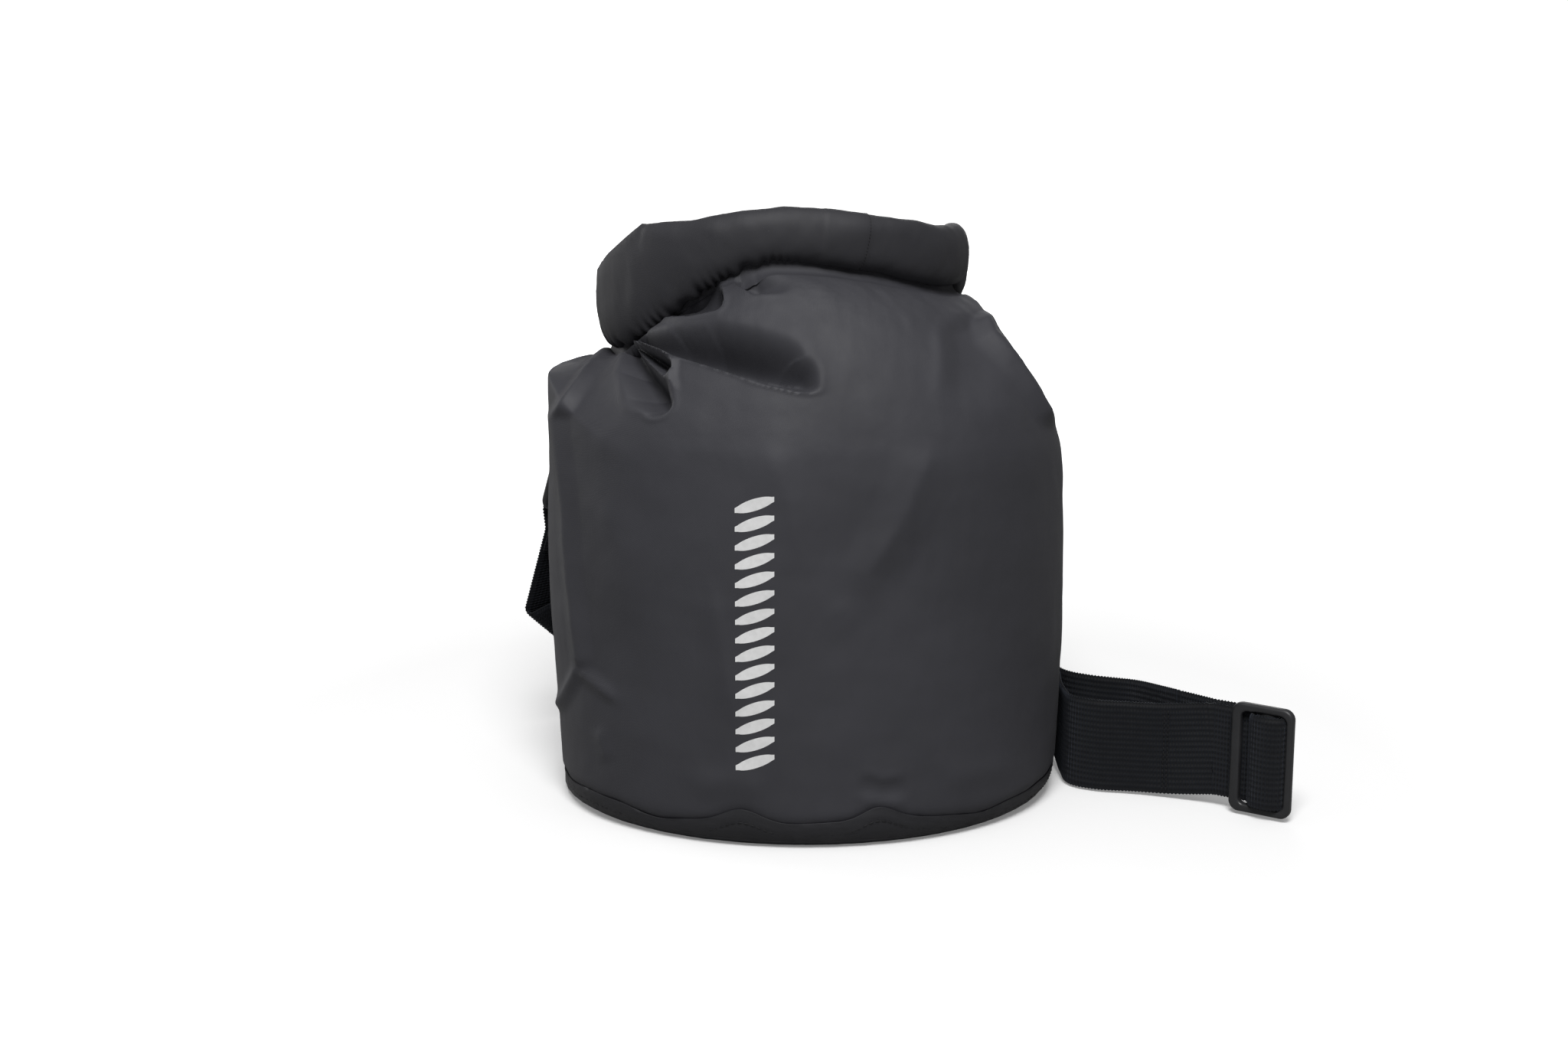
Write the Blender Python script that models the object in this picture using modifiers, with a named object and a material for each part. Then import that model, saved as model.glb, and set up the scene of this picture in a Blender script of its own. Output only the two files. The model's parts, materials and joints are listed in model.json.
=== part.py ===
"""Roll-top dry bag with a shoulder strap, standing on its base: metres, +Z up, front at -Y.

The origin is the centre of the base on the floor. The bag is a welded tube of coated fabric with a cup-shaped
base. Its top edge is rolled round a stiffener and bent into a horseshoe. A side-release buckle joins its ends.
"""

import math

import bmesh
import bpy
from mathutils import Matrix, Vector

# Driving dimensions.
BAG_WIDTH = 0.205
BAG_DEPTH = 0.168
RIGHT_SHOULDER_Z = 0.142
LEFT_SHOULDER_Z = 0.158
ROLL_THICKNESS = 0.015
ROLL_FRONT_HEIGHT = 0.026
ROLL_RIGHT_HEIGHT = 0.031
ROLL_LEFT_HEIGHT = 0.043
ROLL_END_HEIGHT = 0.032
ROLL_FRONT_Z = 0.230
ROLL_RIGHT_Z = 0.2165
ROLL_LEFT_Z = 0.2040
ROLL_END_Z = 0.190
STRAP_WIDTH = 0.038
STRAP_THICKNESS = 0.0018
TAB_WIDTH = 0.025
GAP = 0.0003

# The fabric, and the sizes that follow from the driving ones.
FABRIC = 0.0010
HALF_WIDTH = BAG_WIDTH / 2
HALF_DEPTH = BAG_DEPTH / 2
FLATNESS = BAG_DEPTH / BAG_WIDTH

# The horseshoe that the rolled top is bent into, seen from above.
SHOE_CENTRE_X = -0.009
SHOE_CENTRE_Y = 0.018
SHOE_HALF_WIDTH = 0.0685
SHOE_HALF_DEPTH = 0.058
SHOE_REACH = math.radians(134)
FLANK = 0.58

# The neck under the roll: both panels, held this far apart, end this far below the roll.
NECK_GAP = 0.008
NECK_DROP = 0.003

# Seam tape, and the patches under the ring anchors.
TAPE_WIDTH = 0.014
TAPE_THICKNESS = 0.0006
SKIN_CLEARANCE = 0.0004
PATCH_THICKNESS = 0.0009
BACK_SEAM_TURN = math.radians(-7)
UPPER_PATCH_WIDTH = 0.032
LOWER_PATCH_HEIGHT = 0.027

# Base cup.
CUP_FLOOR = 0.002
CUP_HEIGHT = 0.017
CUP_WALL = 0.0012
CUP_ROUND = 0.004

# Moulded rings that join the strap to the bag.
RING_ROD = 0.0018
RING_INSIDE = 0.040
RING_LENGTH = 0.022
RING_CLEARANCE = 0.00035
TAB_THICKNESS = 0.0014
RING_STAND_OFF = 0.0056
STRAP_END = 0.0205
UPPER_RING_TURN = math.radians(56)
UPPER_RING_Z = 0.128
LOWER_RING_TURN = math.radians(-28)
LOWER_RING_Z = 0.0270
UPPER_RING_SWING = math.radians(20)
TAB_LENGTH = 0.024

# Buckle.
BUCKLE_HEIGHT = 0.032
BUCKLE_THICKNESS = 0.0085
SOCKET_LENGTH = 0.030
PLUG_LENGTH = 0.014
ARM_LENGTH = 0.019
ARM_WIDTH = 0.0034
HOOK_REACH = 0.0012
BUCKLE_Y = 0.0725

# Strap adjuster.
SLIDER_PLACE = Vector((0.181, -0.046, 0.0238))
SLIDER_HEIGHT = 0.045
SLIDER_WIDTH = 0.028
SLIDER_THICKNESS = 0.0036
SLIDER_TURN = math.radians(-34)
SLIDER_SIDE_BAR = 0.0068
SLIDER_THIN_BAR = 0.0029
SLIDER_MIDDLE_BAR = 0.0040

UP = Vector((0, 0, 1))


def clear_scene():
    for obj in list(bpy.data.objects):
        bpy.data.objects.remove(obj)


def new_collection(name, hidden=False):
    collection = bpy.data.collections.new(name)
    collection.hide_render = hidden
    bpy.context.scene.collection.children.link(collection)
    return collection


def new_material(name, colour, roughness, metallic=0.0):
    material = bpy.data.materials.new(name)
    material.use_nodes = True
    shader = material.node_tree.nodes["Principled BSDF"]
    shader.inputs["Base Color"].default_value = (*colour, 1)
    shader.inputs["Roughness"].default_value = roughness
    shader.inputs["Metallic"].default_value = metallic
    material.diffuse_color = (*colour, 1)
    return material


def place(name, mesh, material, collection, smooth=True):
    obj = bpy.data.objects.new(name, mesh)
    mesh.materials.append(material)
    if smooth:
        mesh.shade_smooth()
        mesh.set_sharp_from_angle(angle=math.radians(35))
    collection.objects.link(obj)
    return obj


def mesh_from(bm, name):
    bmesh.ops.recalc_face_normals(bm, faces=bm.faces)
    mesh = bpy.data.meshes.new(name)
    bm.to_mesh(mesh)
    bm.free()
    return mesh


def loft(name, rings, closed_on_itself=False):
    """A skin over equal closed rings of points. Its ends are capped, or joined to each other."""
    bm = bmesh.new()
    loops = [[bm.verts.new(point) for point in ring] for ring in rings]
    pairs = list(zip(loops, loops[1:]))
    if closed_on_itself:
        pairs.append((loops[-1], loops[0]))
    for first, second in pairs:
        for i in range(len(first)):
            j = (i + 1) % len(first)
            bm.faces.new((first[i], first[j], second[j], second[i]))
    if not closed_on_itself:
        bm.faces.new(list(reversed(loops[0])))
        bm.faces.new(loops[-1])
    return mesh_from(bm, name)


def box_mesh(name, size):
    bm = bmesh.new()
    bmesh.ops.create_cube(bm, size=1)
    bmesh.ops.scale(bm, vec=size, verts=bm.verts)
    return mesh_from(bm, name)


def ease(t):
    """0 to 1 with flat ends, held at its ends outside that range."""
    t = min(max(t, 0), 1)
    return t * t * (3 - 2 * t)


def catmull(points, steps):
    """A smooth path through the points, with this many steps between neighbours."""
    ends = [points[0] * 2 - points[1]] + list(points) + [points[-1] * 2 - points[-2]]
    path = []
    for i in range(1, len(ends) - 2):
        a, b, c, d = ends[i - 1 : i + 3]
        for k in range(steps):
            t = k / steps
            square = (a * 2 - b * 5 + c * 4 - d) * t**2
            cube = (b * 3 - a - c * 3 + d) * t**3
            path.append((b * 2 + (c - a) * t + square + cube) / 2)
    return path + [points[-1].copy()]


# The rolled closure's path.


def along_roll(side, front, flank, end):
    """A size that goes from its front value to its flank value, and on to its value at the roll's end."""
    reach = abs(side)
    if reach < FLANK:
        return front + (flank - front) * ease(reach / FLANK)
    return flank + (end - flank) * ease((reach - FLANK) / (1 - FLANK))


def roll_height(side):
    flank = ROLL_LEFT_HEIGHT if side < 0 else ROLL_RIGHT_HEIGHT
    return along_roll(side, ROLL_FRONT_HEIGHT, flank, ROLL_END_HEIGHT)


def shoe_point(side):
    """A point of the roll's axis: side runs from -1 at the left end, 0 in front, to 1 at the right end."""
    turn = side * SHOE_REACH
    x = SHOE_CENTRE_X + SHOE_HALF_WIDTH * math.sin(turn)
    y = SHOE_CENTRE_Y - SHOE_HALF_DEPTH * math.cos(turn)
    flank = ROLL_LEFT_Z if side < 0 else ROLL_RIGHT_Z
    return Vector((x, y, along_roll(side, ROLL_FRONT_Z, flank, ROLL_END_Z)))


def shoe_frame(side):
    """The roll's direction, its outward side and its upward side at a point of the path."""
    along = (shoe_point(side + 0.01) - shoe_point(side - 0.01)).normalized()
    outward = along.cross(UP).normalized()
    return along, outward, outward.cross(along).normalized()


# The bag's body.

SIDE_STEPS = 20
FRONT_REACH = math.radians(114)


def body_sides():
    """(side, facing) of each point of a ring: the front panel from left to right, then the back one."""
    sides = [-1 + 2 * i / SIDE_STEPS for i in range(SIDE_STEPS + 1)]
    return [(side, 1) for side in sides] + [(side, -1) for side in reversed(sides)]


def wall_point(side, facing, inset):
    """A wall point. The front panel reaches round to the folds that lead up to the roll's ends."""
    turn = side * FRONT_REACH
    if facing < 0:
        turn = math.pi - side * (math.pi - FRONT_REACH - math.radians(4))
    x = (HALF_WIDTH - inset) * math.sin(turn)
    return Vector((x, -(HALF_DEPTH - inset) * math.cos(turn), 0))


def neck_point(side, facing, inset):
    outward = shoe_frame(side)[1]
    point = shoe_point(side) + outward * facing * (NECK_GAP / 2 - inset)
    point.z -= roll_height(side) / 2 + NECK_DROP
    return point


def shoulder(rise, front):
    """How far in and up the skin has come: a round shoulder in front (1), a hollow one behind (-1)."""
    round_share = 0.65 * ease((front + 0.5) / 0.5)
    hollow_share = 0.7 * ease(-front / 0.8)
    straight = (1 - round_share - hollow_share) * rise
    late = 1 - math.cos(rise * math.pi / 2)
    early = math.sin(rise * math.pi / 2)
    inward = straight + round_share * late + hollow_share * early
    upward = straight + round_share * early + hollow_share * late
    return inward, upward


def shoulder_start(side):
    return LEFT_SHOULDER_Z + (RIGHT_SHOULDER_Z - LEFT_SHOULDER_Z) * ease((side + 1) / 2)


def body_ring(rise, inset):
    """A ring of the body at this part of the way from the top of the straight wall to the neck."""
    ring = []
    for side, facing in body_sides():
        low = wall_point(side, facing, inset)
        high = neck_point(side, facing, inset)
        inward, upward = shoulder(rise, facing * math.cos(side * math.pi / 2))
        point = low.lerp(high, inward)
        start = shoulder_start(side)
        point.z = start + (high.z - start) * upward - inset * inward
        ring.append(point)
    return ring


def straight_ring(z, inset):
    ring = [wall_point(side, facing, inset) for side, facing in body_sides()]
    for point in ring:
        point.z = z
    return ring


def make_body(material, parts):
    """The tube: one open-ended skin, with its outer face going up and its inner face coming down."""
    inset = CUP_WALL + GAP
    floor = CUP_FLOOR + GAP
    heights = [floor, CUP_HEIGHT + GAP, CUP_HEIGHT + 0.004, 0.060, 0.105]
    rises = [i / 10 for i in range(11)]
    insets = [inset, inset, 0, 0, 0]
    outer = [straight_ring(z, extra) for z, extra in zip(heights, insets)]
    outer += [body_ring(rise, 0) for rise in rises]
    inner = [body_ring(rise, FABRIC) for rise in reversed(rises)]
    inner += [straight_ring(z, extra + FABRIC) for z, extra in zip(reversed(heights), reversed(insets))]
    skin = loft("body_tube", outer + inner, closed_on_itself=True)
    place("body_tube", skin, material, parts)


def turned(name, profile, closed, material, parts):
    """(radius, height) points turned round +Z, then flattened front to back like the bag."""
    mesh = bpy.data.meshes.new(name)
    edges = [(i, i + 1) for i in range(len(profile) - 1)]
    if closed:
        edges.append((len(profile) - 1, 0))
    mesh.from_pydata([(radius, 0, z) for radius, z in profile], edges, [])
    obj = place(name, mesh, material, parts, smooth=False)
    obj.scale = (1, FLATNESS, 1)
    screw = obj.modifiers.new("turn", "SCREW")
    screw.steps = 56
    screw.render_steps = 56
    screw.use_merge_vertices = True
    screw.merge_threshold = 0.0001


def make_base_cup(material, parts):
    """The floor of the bag, with its wall turned up round the outside of the tube."""
    outside = HALF_WIDTH
    inside = outside - CUP_WALL
    quarter = [math.radians(90 * k / 4) for k in range(5)]
    corner = [(outside - CUP_ROUND * (1 - math.cos(a)), CUP_ROUND * (1 - math.sin(a))) for a in quarter]
    profile = [(0, CUP_FLOOR), (inside, CUP_FLOOR), (inside, CUP_HEIGHT), (outside, CUP_HEIGHT)]
    turned("base_cup", profile + corner + [(0, 0)], False, material, parts)


def make_base_tape(material, parts):
    """The sealing tape that covers the base seam inside the bag."""
    outside = HALF_WIDTH - (CUP_WALL + FABRIC + GAP) / FLATNESS - 2 * GAP
    inside = outside - TAPE_THICKNESS
    low = CUP_FLOOR + 2 * GAP
    high = low + TAPE_WIDTH
    profile = [(inside, low), (inside, high), (outside, high), (outside, low)]
    turned("base_seam_tape", profile, True, material, parts)


# Pieces that follow the bag's wall.


def wall_frame(turn, z=0.0):
    """A wall point at this turn from the back, positive to the left, with its outward and rightward sides."""
    point = Vector((-HALF_WIDTH * math.sin(turn), HALF_DEPTH * math.cos(turn), z))
    outward = Vector((point.x / HALF_WIDTH**2, point.y / HALF_DEPTH**2, 0)).normalized()
    return point, outward, outward.cross(UP)


def wall_speed(turn):
    """Metres along the wall for each radian of turn."""
    return math.hypot(HALF_WIDTH * math.cos(turn), HALF_DEPTH * math.sin(turn))


def wall_patch(name, turn, width, low, high, thickness, material, parts):
    """A curved plate lying on the wall."""
    steps = 6
    turns = [turn + width / wall_speed(turn) * (i / steps - 0.5) for i in range(steps + 1)]
    rings = []
    for z in (low, high):
        frames = [wall_frame(each, z) for each in turns]
        inner = [point + outward * SKIN_CLEARANCE for point, outward, _ in frames]
        outer = [point + outward * (SKIN_CLEARANCE + thickness) for point, outward, _ in frames]
        rings.append(inner + list(reversed(outer)))
    return place(name, loft(name, rings), material, parts)


# Webbing.


def ribbon(name, path, across, width, thickness, material, parts):
    """Flat webbing swept along a path. across gives the direction of its width at each point."""
    rings = []
    for i, point in enumerate(path):
        along = (path[min(i + 1, len(path) - 1)] - path[max(i - 1, 0)]).normalized()
        face = along.cross(across[i]).normalized() * (thickness / 2)
        side = face.cross(along).normalized() * (width / 2)
        rings.append([point + side + face, point - side + face, point - side - face, point + side - face])
    return place(name, loft(name, rings), material, parts)


def hairpin(bar, along, facing, reach_inner, reach_outer, radius, closed_up, steps=8):
    """A path that comes up to a bar on its inner side, turns round it, and goes back on its outer side.

    along points from the bar to the free ends, facing from the inner side to the outer one. The outer side
    closes up to the distance closed_up from the inner one.
    """
    inner = bar - facing * radius
    path = [inner + along * reach_inner, inner + along * reach_inner * 0.4]
    for k in range(steps + 1):
        a = math.pi * k / steps
        path.append(bar - along * radius * math.sin(a) - facing * radius * math.cos(a))
    path.append(inner + along * 0.011 + facing * closed_up)
    path.append(inner + along * reach_outer + facing * closed_up)
    return path


def make_ring(name, hinge, bar, along, material, parts):
    """A moulded loop: bar is the direction of its hinge side, and along points from there to its far side."""
    corner = 0.004
    flat = RING_INSIDE / 2 + RING_ROD - corner
    far = RING_LENGTH - corner
    corners = [(flat, corner, -90), (flat, far, 0), (-flat, far, 90), (-flat, corner, 180)]
    curve = bpy.data.curves.new(name, "CURVE")
    curve.dimensions = "3D"
    curve.bevel_depth = RING_ROD
    curve.bevel_resolution = 2
    points = [
        (x + corner * math.cos(math.radians(a)), y + corner * math.sin(math.radians(a)), 0)
        for x, y, start in corners
        for a in (start, start + 30, start + 60, start + 90)
    ]
    spline = curve.splines.new("POLY")
    spline.points.add(len(points) - 1)
    for target, point in zip(spline.points, points):
        target.co = (*point, 1)
    spline.use_cyclic_u = True
    curve.materials.append(material)
    obj = bpy.data.objects.new(name, curve)
    facing = bar.cross(along)
    obj.matrix_world = Matrix((bar, along, facing)).transposed().to_4x4()
    obj.location = hinge
    parts.objects.link(obj)


def make_anchor(prefix, turn, z, upright, swing, materials, parts):
    """A reinforcing patch, the webbing tab that holds a ring, the ring, and the strap end folded round it."""
    point, outward, rightward = wall_frame(turn, z)
    down_wall = -UP if upright else rightward
    bar = rightward if upright else UP
    along = down_wall * math.cos(swing) + outward * math.sin(swing)
    facing = outward * math.cos(swing) - down_wall * math.sin(swing)
    reach = TAB_LENGTH + 0.002
    before_hinge = 0.004
    if upright:
        size = (UPPER_PATCH_WIDTH, z - before_hinge, z - before_hinge + reach, PATCH_THICKNESS)
        wall_patch(prefix + "_patch", turn, *size, materials["patch"], parts)
    else:
        middle = turn + (reach - before_hinge) / 2 / wall_speed(turn)
        half_height = LOWER_PATCH_HEIGHT / 2
        size = (reach, z - half_height, z + half_height, PATCH_THICKNESS)
        wall_patch(prefix + "_patch", middle, *size, materials["patch"], parts)
    hinge = point + outward * RING_STAND_OFF
    make_ring(prefix + "_ring", hinge, bar, along, materials["plastic"], parts)
    radius = RING_ROD + RING_CLEARANCE + TAB_THICKNESS / 2
    inner_reach = TAB_LENGTH - 0.005
    outer_reach = TAB_LENGTH - 0.006
    tab = hairpin(hinge, -down_wall, outward, inner_reach, outer_reach, radius, TAB_THICKNESS + GAP)
    if not upright:
        tab = [follow_wall(p, hinge, down_wall, outward) for p in tab]
    webbing = materials["webbing"]
    ribbon(prefix + "_tab", tab, [bar] * len(tab), TAB_WIDTH, TAB_THICKNESS, webbing, parts)
    far = hinge + along * RING_LENGTH
    radius = RING_ROD + RING_CLEARANCE + STRAP_THICKNESS / 2
    end = hairpin(far, along, facing, STRAP_END - 0.002, STRAP_END, radius, STRAP_THICKNESS + GAP)
    name = "strap_" + prefix + "_end"
    ribbon(name, end, [bar] * len(end), STRAP_WIDTH, STRAP_THICKNESS, webbing, parts)


def follow_wall(point, hinge, along, outward):
    """Bends a sideways tab inward, so that it stays beside the curved wall."""
    back = max(0.0, -(point - hinge).dot(along))
    bend_radius = HALF_WIDTH / 0.9
    return point - outward * (back**2 / (2 * bend_radius))


# The rolled top.

ROLL_TURNS = 2
ROLL_PITCH = 0.0023
ROLL_SHEET = 0.0015
ROLL_FULLNESS = 0.8
ROLL_STEPS = 26
STIFFENER_WIDTH = 0.0124
STIFFENER_THICKNESS = 0.0012


def spiral_section(height):
    """(outward, upward) points of the rolled sheet's section: its outer face, then its inner face back."""
    per_turn = 12
    count = per_turn * ROLL_TURNS
    outer = []
    inner = []
    for k in range(count + 1):
        turn = 2 * math.pi * k / per_turn
        shrink = ROLL_PITCH * k / per_turn
        direction = (math.sin(turn), -math.cos(turn))
        for face, depth in ((outer, shrink), (inner, shrink + ROLL_SHEET)):
            across = ROLL_THICKNESS / 2 - depth
            tall = height / 2 - depth
            rise = math.copysign(abs(direction[1]) ** ROLL_FULLNESS, direction[1])
            face.append((across * direction[0], tall * rise))
    return outer + list(reversed(inner))


def make_roll(material, parts):
    rings = []
    for i in range(ROLL_STEPS + 1):
        side = -1 + 2 * i / ROLL_STEPS
        along, outward, upward = shoe_frame(side)
        section = spiral_section(roll_height(side))
        rings.append([shoe_point(side) + outward * out + upward * up for out, up in section])
    place("rolled_closure", loft("rolled_closure", rings), material, parts)


def make_stiffener(material, parts):
    sides = [-0.98 + 1.96 * i / 24 for i in range(25)]
    path = [shoe_point(side) for side in sides]
    across = [shoe_frame(side)[2] for side in sides]
    ribbon("closure_stiffener", path, across, STIFFENER_WIDTH, STIFFENER_THICKNESS, material, parts)


# The buckle. Its pull is along X, its width along Z.

MOUTH = Vector((-0.0012, BUCKLE_Y, ROLL_END_Z))
FRAME_THICKNESS = 0.0036
FRAME_BAR = 0.0022
FRAME_SLOT = 0.0031
SOCKET_BODY = SOCKET_LENGTH - FRAME_SLOT - FRAME_BAR
PLUG_BODY = PLUG_LENGTH - FRAME_SLOT - FRAME_BAR
CAVITY_HEIGHT = 0.026
CAVITY_THICKNESS = 0.0056
CAVITY_DEPTH = 0.0235
TAB_SLOT_HEIGHT = 0.0262
ARM_OUTSIDE = CAVITY_HEIGHT / 2 - 0.0006
ARM_PIVOT = Vector((0.0015, 0, ARM_OUTSIDE - ARM_WIDTH / 2))
HOOK_LENGTH = 0.0055
LATCH_PLAY = 0.004


def cutter(name, size, place_at, cutters):
    obj = bpy.data.objects.new(name, box_mesh(name, size))
    obj.location = place_at
    obj.display_type = "WIRE"
    obj.hide_render = True
    cutters.objects.link(obj)
    return obj


def boolean(obj, operation, other):
    step = obj.modifiers.new(operation.lower(), "BOOLEAN")
    step.operation = operation
    step.object = other


def rounded(obj, width, segments=2):
    bevel = obj.modifiers.new("round", "BEVEL")
    bevel.width = width
    bevel.segments = segments
    bevel.limit_method = "ANGLE"
    bevel.angle_limit = math.radians(40)


def block(name, size, place_at, material, parts):
    obj = place(name, box_mesh(name, size), material, parts)
    obj.location = place_at
    return obj


def frame_cuts(name, obj, end, direction, cutters):
    """The slot and the thinned end that webbing is folded round. end is the end's x from the mouth."""
    slot_middle = MOUTH + Vector((end - direction * (FRAME_BAR + FRAME_SLOT / 2), 0, 0))
    size = (FRAME_SLOT, 0.02, TAB_SLOT_HEIGHT)
    boolean(obj, "DIFFERENCE", cutter(name + "_slot_cutter", size, slot_middle, cutters))
    for sign in (-1, 1):
        y = sign * (FRAME_THICKNESS / 2 + 0.005)
        depth = FRAME_BAR + FRAME_SLOT - 0.0002
        middle = MOUTH + Vector((end - direction * (depth / 2 - 0.001), y, 0))
        size = (depth + 0.002, 0.010, 0.05)
        boolean(obj, "DIFFERENCE", cutter(f"{name}_thin_cutter_{sign}", size, middle, cutters))


def make_socket(material, parts, cutters):
    size = (SOCKET_LENGTH, BUCKLE_THICKNESS, BUCKLE_HEIGHT)
    socket = block("buckle_socket", size, MOUTH - Vector((SOCKET_LENGTH / 2, 0, 0)), material, parts)
    rounded(socket, 0.0012)
    size = (CAVITY_DEPTH + 0.002, CAVITY_THICKNESS, CAVITY_HEIGHT)
    middle = MOUTH + Vector((0.001 - CAVITY_DEPTH / 2, 0, 0))
    boolean(socket, "DIFFERENCE", cutter("cavity_cutter", size, middle, cutters))
    window_end = -(ARM_LENGTH + 0.0008)
    window_start = -(ARM_LENGTH - HOOK_LENGTH - LATCH_PLAY)
    size = (window_start - window_end, CAVITY_THICKNESS, 0.05)
    middle = MOUTH + Vector(((window_start + window_end) / 2, 0, 0))
    boolean(socket, "DIFFERENCE", cutter("window_cutter", size, middle, cutters))
    frame_cuts("socket", socket, -SOCKET_LENGTH, -1, cutters)


def make_plug(material, parts, cutters):
    start = GAP + 0.0002
    length = PLUG_LENGTH - start
    size = (length, BUCKLE_THICKNESS, BUCKLE_HEIGHT)
    plug = block("buckle_plug", size, MOUTH + Vector((start + length / 2, 0, 0)), material, parts)
    rounded(plug, 0.0012)
    tongue = 0.021
    size = (tongue + 0.004, CAVITY_THICKNESS - 0.0009, 0.003)
    middle = MOUTH + Vector((0.004 - tongue / 2, 0, 0))
    boolean(plug, "UNION", cutter("tongue", size, middle, cutters))
    for sign in (-1, 1):
        size = (0.008, CAVITY_THICKNESS, ARM_WIDTH + 0.0016)
        middle = MOUTH + Vector((ARM_PIVOT.x + 0.0018 - 0.004, 0, sign * ARM_PIVOT.z))
        boolean(plug, "DIFFERENCE", cutter(f"pocket_cutter_{sign}", size, middle, cutters))
    frame_cuts("plug", plug, PLUG_LENGTH, 1, cutters)


def make_arm(name, sign, material, parts, cutters):
    """A springy arm with a hook at its tip. Its origin is on its bending axis at the plug."""
    thickness = CAVITY_THICKNESS - 0.0008
    back = 0.0012
    length = ARM_LENGTH + ARM_PIVOT.x + back
    bm = bmesh.new()
    bmesh.ops.create_cube(bm, size=1)
    bmesh.ops.scale(bm, vec=(length, thickness, ARM_WIDTH), verts=bm.verts)
    bmesh.ops.translate(bm, vec=(back - length / 2, 0, 0), verts=bm.verts)
    arm = place(name, mesh_from(bm, name), material, parts)
    arm.location = MOUTH + Vector((ARM_PIVOT.x, 0, sign * ARM_PIVOT.z))
    rounded(arm, 0.0005, 1)
    hook_middle = -(ARM_LENGTH - HOOK_LENGTH / 2)
    size = (HOOK_LENGTH, thickness, ARM_WIDTH)
    middle = MOUTH + Vector((hook_middle, 0, sign * (ARM_PIVOT.z + HOOK_REACH)))
    boolean(arm, "UNION", cutter(name + "_hook", size, middle, cutters))


def make_buckle_tabs(webbing, parts):
    """Webbing folded round each end of the buckle, reaching the outside of the roll's ends."""
    radius = 0.0030
    for name, side, bar_x in (
        ("buckle_tab_left", -1, -(SOCKET_LENGTH - FRAME_BAR / 2)),
        ("buckle_tab_right", 1, PLUG_LENGTH - FRAME_BAR / 2),
    ):
        bar = MOUTH + Vector((bar_x, 0, 0))
        along = Vector((side, 0, 0))
        facing = Vector((0, 1, 0))
        end = shoe_point(side)
        outward = shoe_frame(side)[1]
        beyond = end + outward * (ROLL_THICKNESS / 2 + 0.0022) - shoe_frame(side)[0] * side * 0.011
        inner = bar - facing * radius
        path = [inner + along * 0.012, inner + along * 0.005]
        for k in range(9):
            a = math.pi * k / 8
            path.append(bar - along * radius * math.sin(a) - facing * radius * math.cos(a))
        path.append(inner + along * 0.0025 + facing * (2 * radius - 0.0003))
        path.append(inner + along * 0.013 + facing * (TAB_THICKNESS + GAP))
        knee = end + outward * (ROLL_THICKNESS / 2 + 0.0034)
        path += catmull([path[-1].lerp(knee, 0.35), knee, beyond], 4)
        ribbon(name, path, [UP] * len(path), TAB_WIDTH, TAB_THICKNESS, webbing, parts)


# The strap's free runs and its adjuster.


def slider_axes():
    along = Vector((math.cos(SLIDER_TURN), math.sin(SLIDER_TURN), 0))
    return along, along.cross(UP)


def at_slider(along_by, facing_by):
    along, facing = slider_axes()
    return SLIDER_PLACE + along * along_by + facing * facing_by


def middle_bar_offset():
    left = -SLIDER_WIDTH / 2 + SLIDER_SIDE_BAR
    right = SLIDER_WIDTH / 2 - SLIDER_THIN_BAR
    return (left + right) / 2


def make_slider(material, parts, cutters):
    """A three-bar slider: a rounded plate with two slots, one on each side of its middle bar."""
    plate = box_mesh("strap_slider", (SLIDER_WIDTH, SLIDER_THICKNESS, SLIDER_HEIGHT))
    slider = place("strap_slider", plate, material, parts)
    slider.location = SLIDER_PLACE
    slider.rotation_euler = (0, 0, SLIDER_TURN)
    rounded(slider, 0.0010)
    bar = middle_bar_offset()
    left = -SLIDER_WIDTH / 2 + SLIDER_SIDE_BAR
    right = SLIDER_WIDTH / 2 - SLIDER_THIN_BAR
    height = SLIDER_HEIGHT - 2 * SLIDER_THIN_BAR
    slots = {"left": (left, bar - SLIDER_MIDDLE_BAR / 2), "right": (bar + SLIDER_MIDDLE_BAR / 2, right)}
    for name, (start, end) in slots.items():
        middle = at_slider((start + end) / 2, 0)
        cut = cutter("slider_slot_" + name, (end - start, 0.02, height), middle, cutters)
        cut.rotation_euler = (0, 0, SLIDER_TURN)
        boolean(slider, "DIFFERENCE", cut)


# Behind the slider's side bar lie four layers of webbing, this far apart: the strap's free run, the two layers
# of its sewn end, and the free run again. All of them turn forward through the left slot or back from the right.
LAYER = STRAP_THICKNESS + GAP
FIRST_LAYER = -(SLIDER_THICKNESS / 2 + GAP + STRAP_THICKNESS / 2)
SEWN_RADIUS = 0.0039
SEWN_REACH = 0.027
FREE_REACH = 0.036
RUN_END = 0.0205
RUN_REACH = 0.038


def arc_at_slider(centre, radius, start, end, steps):
    """An arc seen from above the slider, from the start angle to the end one. Angle 0 is along it, 90 in front."""
    angles = [math.radians(start + (end - start) * k / steps) for k in range(steps + 1)]
    return [at_slider(centre + radius * math.cos(a), radius * math.sin(a)) for a in angles]


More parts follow.
